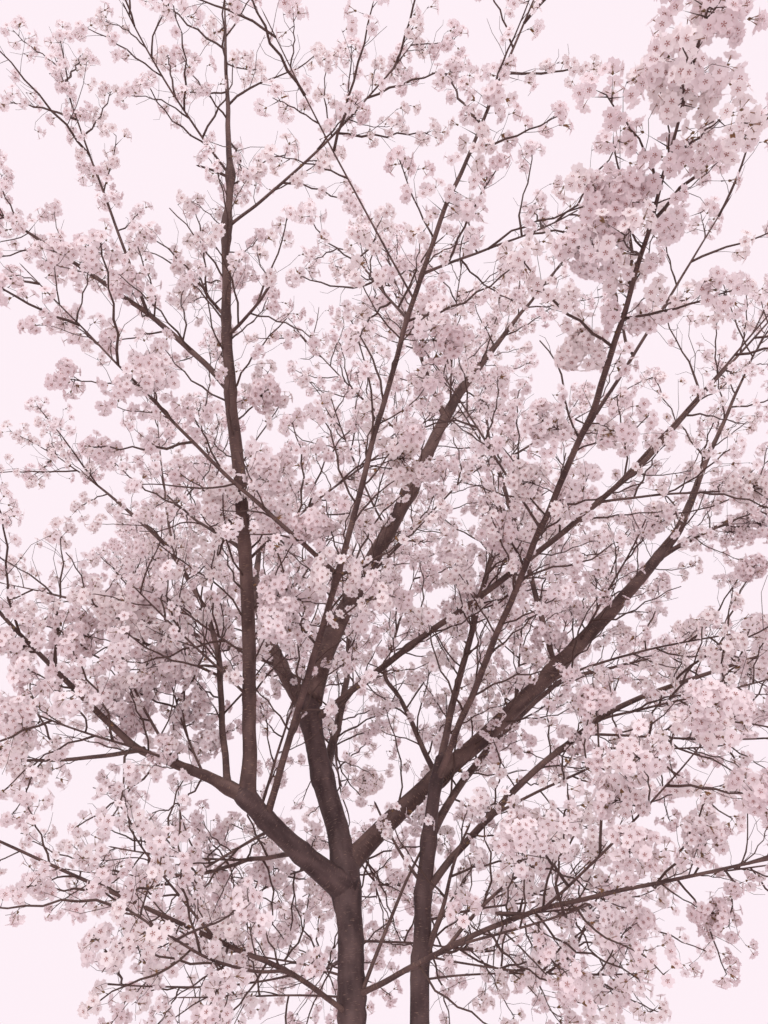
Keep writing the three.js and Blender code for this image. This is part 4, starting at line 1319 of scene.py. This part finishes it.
# %% Limbs that show
CLEAR_MARGIN = 5
CURVE_POINTS = 60
STEM_THICKNESS = 0.01
CLEAR_LIMBS = [
    ("trunk", 0.5, 0.93, 1.0), ("left_bough", 0, 1, 1.0), ("left_leader", 0, 0.38, 0.9),
    ("left_leader", 0.5, 1, 0.85), ("centre_right_bough", 0, 0.22, 0.8),
    ("centre_right_bough", 0.4, 0.62, 0.7), ("centre_right_bough", 0.75, 1, 0.85),
    ("right_bough", 0, 1, 0.65), ("front_bough", 0, 0.3, 0.6), ("front_bough", 0.42, 1, 0.8),
    ("near_bough", 0, 1, 0.8), ("stem_bough", 0, 1, 0.5), ("second_stem", 0.5, 1, 0.6),
    ("cross_bough", 0.1, 1, 0.35), ("left_reach", 0, 1, 0.6), ("left_riser", 0, 1, 0.5),
    ("front_left_bough", 0, 1, 0.6), ("tall_riser", 0, 1, 0.5), ("inner_riser", 0, 1, 0.6),
    ("low_right_bough", 0, 1, 0.5), ("low_left_bough", 0, 1, 0.6), ("low_fork_bough", 0, 1, 0.6),
    ("upper_left_bough", 0, 1, 0.6), ("centre_left_bough", 0, 0.4, 0.7), ("near_front", 0.1, 0.6, 0.9),
    ("right_top", 0, 0.7, 0.6), ("leader_top", 0, 1, 0.7), ("leader_right", 0, 0.7, 0.7),
    ("left_high", 0, 1, 0.7), ("low_right", 0, 1, 0.5),
]


def seen(points):
    """Places of points on the picture, in pixels from its middle, and their depth:
    focal length times offset / depth."""
    rise = math.radians(CAMERA_RISE)
    offset = points - np.array(CAMERA_PLACE)
    depth = offset @ [0, math.cos(rise), math.sin(rise)]
    up = offset @ [0, -math.sin(rise), math.cos(rise)]
    return np.stack([offset[:, 0], up, depth * 0], axis=1) / depth[:, None] * FOCAL_PIXELS, depth


def hides(seen_points, name, first, last):
    """Which points stand before a stretch of a limb: nearer to the camera, and over it or close beside it."""
    places, depth = seen_points
    from_point, to_point = (int(share * (CURVE_POINTS - 1)) for share in (first, last))
    limb_places, limb_depth = seen(resampled(all_lines[name], CURVE_POINTS)[from_point:to_point + 1])
    gap, _ = distances(places, segments_of([limb_places]))
    behind = limb_depth[gap.argmin(axis=1)]
    thick = max(limb_thick.get(name, [STEM_THICKNESS]))
    return (gap.min(axis=1) < thick / 2 * FOCAL_PIXELS / behind + CLEAR_MARGIN) & (depth < behind)


print(len(CLEAR_LIMBS), "stretches of limbs that show")

# %% [markdown]
# ## Places of the flowers
# Each umbel sends its stalks out in a cone round its axis, and they sag a little. At the end
# of a stalk the flower faces outwards. A flower is dropped if it would meet a limb, leave the
# crown, hide a limb that shows, or hang in the hollow round the upper trunk.

# %% Places of the flowers
FLOWER_RADIUS = 0.0203
FLOWERS = (3, 4)
CONE = 58
CONE_CORE = 0.04
STALK_TURN = 25
SAG = 0.22
STALK_LENGTH = (0.019, 0.033)
FLOWER_CLEARANCE = 0.008
HOLLOW_RADIUS = 0.2
HOLLOW_TRUNK = slice(7, 12)
FACING_SPREAD = 0.28
SIZE_SPREAD = 0.07
CUP = (0.15, 0.55)

flower_counts = rng.integers(*FLOWERS, len(umbels["foot"]), endpoint=True)
of_umbel, order = numbered(flower_counts)
feet, axes = umbels["foot"][of_umbel], umbels["axis"][of_umbel]
stalk_angle = CONE * np.sqrt(rng.uniform(CONE_CORE, 1, len(of_umbel)))
stalk_turn = 360 * order / flower_counts[of_umbel] + rng.uniform(0, 360, len(flower_counts))[of_umbel]
stalk_turn = stalk_turn + rng.uniform(-STALK_TURN, STALK_TURN, len(of_umbel))
stalks = unit(turned_out(axes, stalk_angle, stalk_turn) - [0, 0, SAG])
centres = feet + stalks * rng.uniform(*STALK_LENGTH, len(of_umbel))[:, None]

hollow_pieces = segments_of([limb_lines["trunk"][HOLLOW_TRUNK], limb_lines["left_bough"]])
keep = inside_crown(centres, FLOWER_RADIUS, TWIG_SINK) & (limb_clearance(centres) > FLOWER_CLEARANCE)
keep &= distances(centres, hollow_pieces)[0].min(axis=1) > HOLLOW_RADIUS
seen_centres = seen(centres)
luck = rng.uniform(size=len(umbels["foot"]))[of_umbel]
for name, first, last, part in CLEAR_LIMBS:
    keep &= ~(hides(seen_centres, name, first, last) & (luck < part))
feet, stalks, centres, of_umbel = feet[keep], stalks[keep], centres[keep], of_umbel[keep]
facing = unit(stalks + rng.normal(0, FACING_SPREAD, stalks.shape))
flower_u = turned_out(facing, 90.0, rng.uniform(0, 360, len(facing)))
flower_v = np.cross(facing, flower_u)
flower_size = FLOWER_RADIUS * rng.normal(1, SIZE_SPREAD, len(facing))
flower_cup = rng.uniform(*CUP, len(facing))
print(len(centres), "flowers")

# %% [markdown]
# ## Petals and eyes
# Five petals are one small template of points, and every flower is the template turned by its
# own three axes: centre + size (x u + y v + z n). A petal has a notch at its tip, like the real
# one. The stamens and the calyx are one small star between the petals. Each spray gets one of
# four tints.

# %% Petals and eyes
PETAL = np.array([[0.05, 0, 0], [0.56, -0.41, 0.17], [0.95, -0.24, 0.30], [0.88, 0, 0.22], [0.95, 0.24, 0.30],
                  [0.56, 0.41, 0.17]])
PETAL_FACES = np.array([[0, 1, 3], [1, 2, 3], [3, 4, 5], [0, 3, 5]])
ARM = np.array([[0, 0, 0.09], [0.28, -0.08, 0.17], [0.28, 0.08, 0.17]])
ARM_FACES = np.array([[0, 1, 2]])
PETALS = 5
TINTS = 4
TINT_STRIDE, TINT_ROUND = 7919, 97


def five_times(points, faces, first_turn=0):
    """A template turned five times round the flower's axis, by 72 degrees each."""
    turn = np.radians(360 / PETALS * np.arange(PETALS) + first_turn)[:, None]
    x, y, z = points.T
    across, up = x * np.cos(turn) - y * np.sin(turn), x * np.sin(turn) + y * np.cos(turn)
    turned = np.stack([across, up, z + 0 * turn], axis=-1)
    shift = np.arange(PETALS)[:, None, None] * len(points)
    return turned.reshape(-1, 3), (faces[None] + shift).reshape(-1, 3)


def instances(points, faces, centre, u, v, n, size, cup):
    """Many copies of a template: centre + size (x u + y v + cup z n)."""
    x, y, z = (points[:, k][None, :, None] for k in range(3))
    out = x * u[:, None] + y * v[:, None] + z * np.broadcast_to(cup, len(centre))[:, None, None] * n[:, None]
    vertices = centre[:, None] + out * np.broadcast_to(size, len(centre))[:, None, None]
    shift = np.arange(len(centre))[:, None, None] * len(points)
    return vertices.reshape(-1, 3), NO_QUADS, (faces[None] + shift).reshape(-1, 3)


petal_points, petal_faces = five_times(PETAL, PETAL_FACES)
tint = umbels["spray"][of_umbel] * TINT_STRIDE % TINT_ROUND % TINTS
petal_pieces = []
for number in range(TINTS):
    mine = tint == number
    shape = instances(petal_points, petal_faces, centres[mine], flower_u[mine], flower_v[mine], facing[mine],
                      flower_size[mine], flower_cup[mine])
    petal_pieces.append(make_piece(f"petals_{number + 1}", *shape))
arms = five_times(ARM, ARM_FACES, 180 / PETALS)
eyes = instances(*arms, centres, flower_u, flower_v, facing, flower_size, 1)
eye_piece = make_piece("flower_eyes", *eyes, smooth_shaded=False)

# %% [markdown]
# ## Stalks, spurs, bud scales and young leaves
# A stalk and a spur are slender spikes. Round the foot of each umbel sit the bud's scales,
# one small spindle here, and one umbel in five has a tuft of young bronze leaves.

# %% Stalks, spurs, bud scales and young leaves
STALK_RADIUS = 0.0016
SPUR_RADIUS = 0.0020
STALK_SINK = 0.001
SPINDLE = np.array([[0, 0, -0.3], [1, 0, 0.35], [-0.5, 0.87, 0.35], [-0.5, -0.87, 0.35], [0, 0, 1.5]])
SPINDLE_FACES = np.array([[0, 2, 1], [0, 3, 2], [0, 1, 3], [4, 1, 2], [4, 2, 3], [4, 3, 1]])
SCALE_SIZE, SCALE_LENGTH, SCALE_TURN = 0.0044, 1.6, 10.0
LEAF = np.array([[0, 0, 0], [0.45, -0.20, 0.08], [0.50, 0, 0.0], [0.45, 0.20, 0.08], [1, 0, 0.10]])
LEAF_FACES = np.array([[0, 1, 2], [1, 4, 2], [0, 2, 3], [2, 4, 3]])
LEAF_LENGTH = 0.017
LEAF_SIZES = (0.7, 1.3)
LEAF_ANGLES = (15, 50)
LEAVES_PER_TUFT = 3
UMBELS_PER_TUFT = 5


def spikes(starts, ends, radius):
    """Slender three-sided spikes: a triangle round each start and a point at each end."""
    along = unit(ends - starts)
    ring = [starts + turned_out(along, 90.0, angle) * radius for angle in (0.0, 120.0, 240.0)]
    vertices = np.stack(ring + [ends], axis=1).reshape(-1, 3)
    faces = np.array([[0, 1, 3], [1, 2, 3], [2, 0, 3], [2, 1, 0]])
    return vertices, NO_QUADS, (faces[None] + np.arange(len(starts))[:, None, None] * 4).reshape(-1, 3)


stalk_piece = make_piece("flower_stalks", *spikes(centres + facing * STALK_SINK, feet, STALK_RADIUS))
used = np.unique(of_umbel)
spur_roots, spur_feet, spur_axes = umbels["root"][used], umbels["foot"][used], umbels["axis"][used]
spur_piece = make_piece("spurs", *spikes(spur_roots, spur_feet, SPUR_RADIUS))

scale_u = turned_out(spur_axes, 90.0, SCALE_TURN)
scales = instances(SPINDLE, SPINDLE_FACES, spur_feet, scale_u, np.cross(spur_axes, scale_u), spur_axes,
                   SCALE_SIZE, SCALE_LENGTH)
scale_piece = make_piece("bud_scales", *scales, smooth_shaded=False)

tuft = np.repeat(rng.permutation(len(used))[:len(used) // UMBELS_PER_TUFT], LEAVES_PER_TUFT)
leaf_along = turned_out(spur_axes[tuft], rng.uniform(*LEAF_ANGLES, len(tuft)), rng.uniform(0, 360, len(tuft)))
leaf_side = unit(np.cross(leaf_along, rng.normal(size=leaf_along.shape)))
leaves = instances(LEAF, LEAF_FACES, spur_feet[tuft], leaf_along, leaf_side, np.cross(leaf_along, leaf_side),
                   LEAF_LENGTH * rng.uniform(*LEAF_SIZES, len(tuft)), 1)
leaf_piece = make_piece("young_leaves", *leaves)

# %% [markdown]
# ## Materials of blossom and twigs
# All colours are plain values. Each tint of the petals is its own material, and part of the
# light passes through a petal, so that the crown glows where the sky is behind it.

# %% Materials of blossom and twigs
PETAL_TINTS = [(0.915, 0.832, 0.838), (0.968, 0.896, 0.902), (0.890, 0.790, 0.800), (0.920, 0.848, 0.840)]
PETAL_ROUGHNESS = 0.75
LIGHT_THROUGH = 0.35
SHEEN_LEVEL = 0.25
PLAIN_MATERIALS = {
    "flower_eye": ((0.38, 0.17, 0.155), 0.7, [eye_piece], "blossom"),
    "stalk": ((0.30, 0.17, 0.11), 0.7, [stalk_piece], "blossom"),
    "bud_scale": ((0.19, 0.12, 0.065), 0.7, [scale_piece], "blossom"),
    "young_leaf": ((0.28, 0.15, 0.07), 0.6, [leaf_piece], "blossom"),
    "twig": ((0.092, 0.055, 0.047), 0.75, [twig_piece, side_piece, spur_piece], "bark"),
}


def plant_shader(name, colour, roughness):
    """A Principled material of the tree, with its node tree and its shader node."""
    values = {"Base Color": (*colour, 1), "Roughness": roughness, "Specular IOR Level": SHEEN_LEVEL}
    return shader(name, values)


def added(tree, kind, values):
    """A new node with its inputs set."""
    return set_inputs(tree, tree.nodes.new(kind), values)


def dress(piece, material):
    """Gives a piece its material and its slot, and lets it ride with the tree."""
    piece.data.materials.append(material)
    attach(piece, "root")


for number, (piece, colour) in enumerate(zip(petal_pieces, PETAL_TINTS)):
    material, tree, node = plant_shader(f"petal_tint_{number + 1}", colour, PETAL_ROUGHNESS)
    through = added(tree, "ShaderNodeBsdfTranslucent", {"Color": (*colour, 1)})
    both = added(tree, "ShaderNodeMixShader", {0: LIGHT_THROUGH, 1: node.outputs[0], 2: through.outputs[0]})
    set_inputs(tree, tree.nodes["Material Output"], {"Surface": both.outputs[0]})
    dress(piece, material)

for name, (colour, roughness, pieces, slot) in PLAIN_MATERIALS.items():
    material, _, _ = plant_shader(name, colour, roughness)
    for piece in pieces:
        dress(piece, material)
print(len(PETAL_TINTS), "petal tints and", len(PLAIN_MATERIALS), "plain materials")

# %% [markdown]
# ## Bark material
# The pattern reads the unrolled vector, so it follows each limb. Broad noise gives pale
# patches. Noise that is stretched round the limb gives short pale cross marks, which also
# stand out a little. Young wood is paler than the trunk.

# %% Bark material
BARK_DARK = (0.050, 0.030, 0.030)
BARK_LIGHT = (0.125, 0.080, 0.075)
BARK_MARK = (0.19, 0.12, 0.095)
BARK_ROUGHNESS = 0.75
OLD_WOOD = (1, 1, 1)
YOUNG_WOOD = (1.32, 1.29, 1.20)
PATCHES = {"scale": (22, 22, 9), "detail": 4, "low": 0.35, "high": 0.70}
MARKS = {"scale": (55, 55, 330), "detail": 2, "low": 0.62, "high": 0.70}
MARK_RELIEF = {"Strength": 0.5, "Distance": 0.002}


def noise_steps(tree, source, scale, detail, low, high):
    """Noise at stretched coordinates, as a value from 0 to 1 while the noise goes from low to high."""
    stretch = added(tree, "ShaderNodeMapping", {"Vector": source, "Scale": scale})
    place = {"Vector": stretch.outputs[0], "Scale": 1.0, "Detail": detail}
    noise = added(tree, "ShaderNodeTexNoise", place).outputs["Fac"]
    steps = {"Value": noise, "From Min": low, "From Max": high}
    return added(tree, "ShaderNodeMapRange", steps).outputs["Result"]


def blended(tree, share, first, second):
    """A mix of two colours, where either can be a colour or another node's output."""
    node = added(tree, "ShaderNodeMix", {0: share, 6: first, 7: second})
    node.data_type = "RGBA"
    return node.outputs[2]


def bark(name, wood):
    """Bark with pale patches and fine pale cross marks, all its colours multiplied by those of the wood."""
    colours = (BARK_DARK, BARK_LIGHT, BARK_MARK)
    dark, light, mark = ((*[a * b for a, b in zip(colour, wood)], 1) for colour in colours)
    material, tree, node = plant_shader(name, dark[:3], BARK_ROUGHNESS)
    unrolled = tree.nodes.new("ShaderNodeAttribute")
    unrolled.attribute_name = "unrolled"
    patches = noise_steps(tree, unrolled.outputs["Vector"], **PATCHES)
    marks = noise_steps(tree, unrolled.outputs["Vector"], **MARKS)
    skin_colour = blended(tree, marks, blended(tree, patches, dark, light), mark)
    bump = added(tree, "ShaderNodeBump", {**MARK_RELIEF, "Height": marks})
    set_inputs(tree, node, {"Base Color": skin_colour, "Normal": bump.outputs[0]})
    return material


dress(trunk_piece, bark("bark", OLD_WOOD))
young_bark = bark("young_bark", YOUNG_WOOD)
for piece in (bough_piece, fine_piece):
    dress(piece, young_bark)
print(len(bpy.data.materials), "materials")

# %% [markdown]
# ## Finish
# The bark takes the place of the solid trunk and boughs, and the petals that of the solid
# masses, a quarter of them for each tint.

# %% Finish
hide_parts(*TRUNK_GROUP)
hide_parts(*[name for name in BOUGHS if name not in TRUNK_GROUP])
mass_nodes = np.array([f"{name}_mass" for name in MASSES])
for piece, nodes in zip(petal_pieces, np.array_split(mass_nodes, TINTS)):
    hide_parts(*[str(node) for node in nodes])
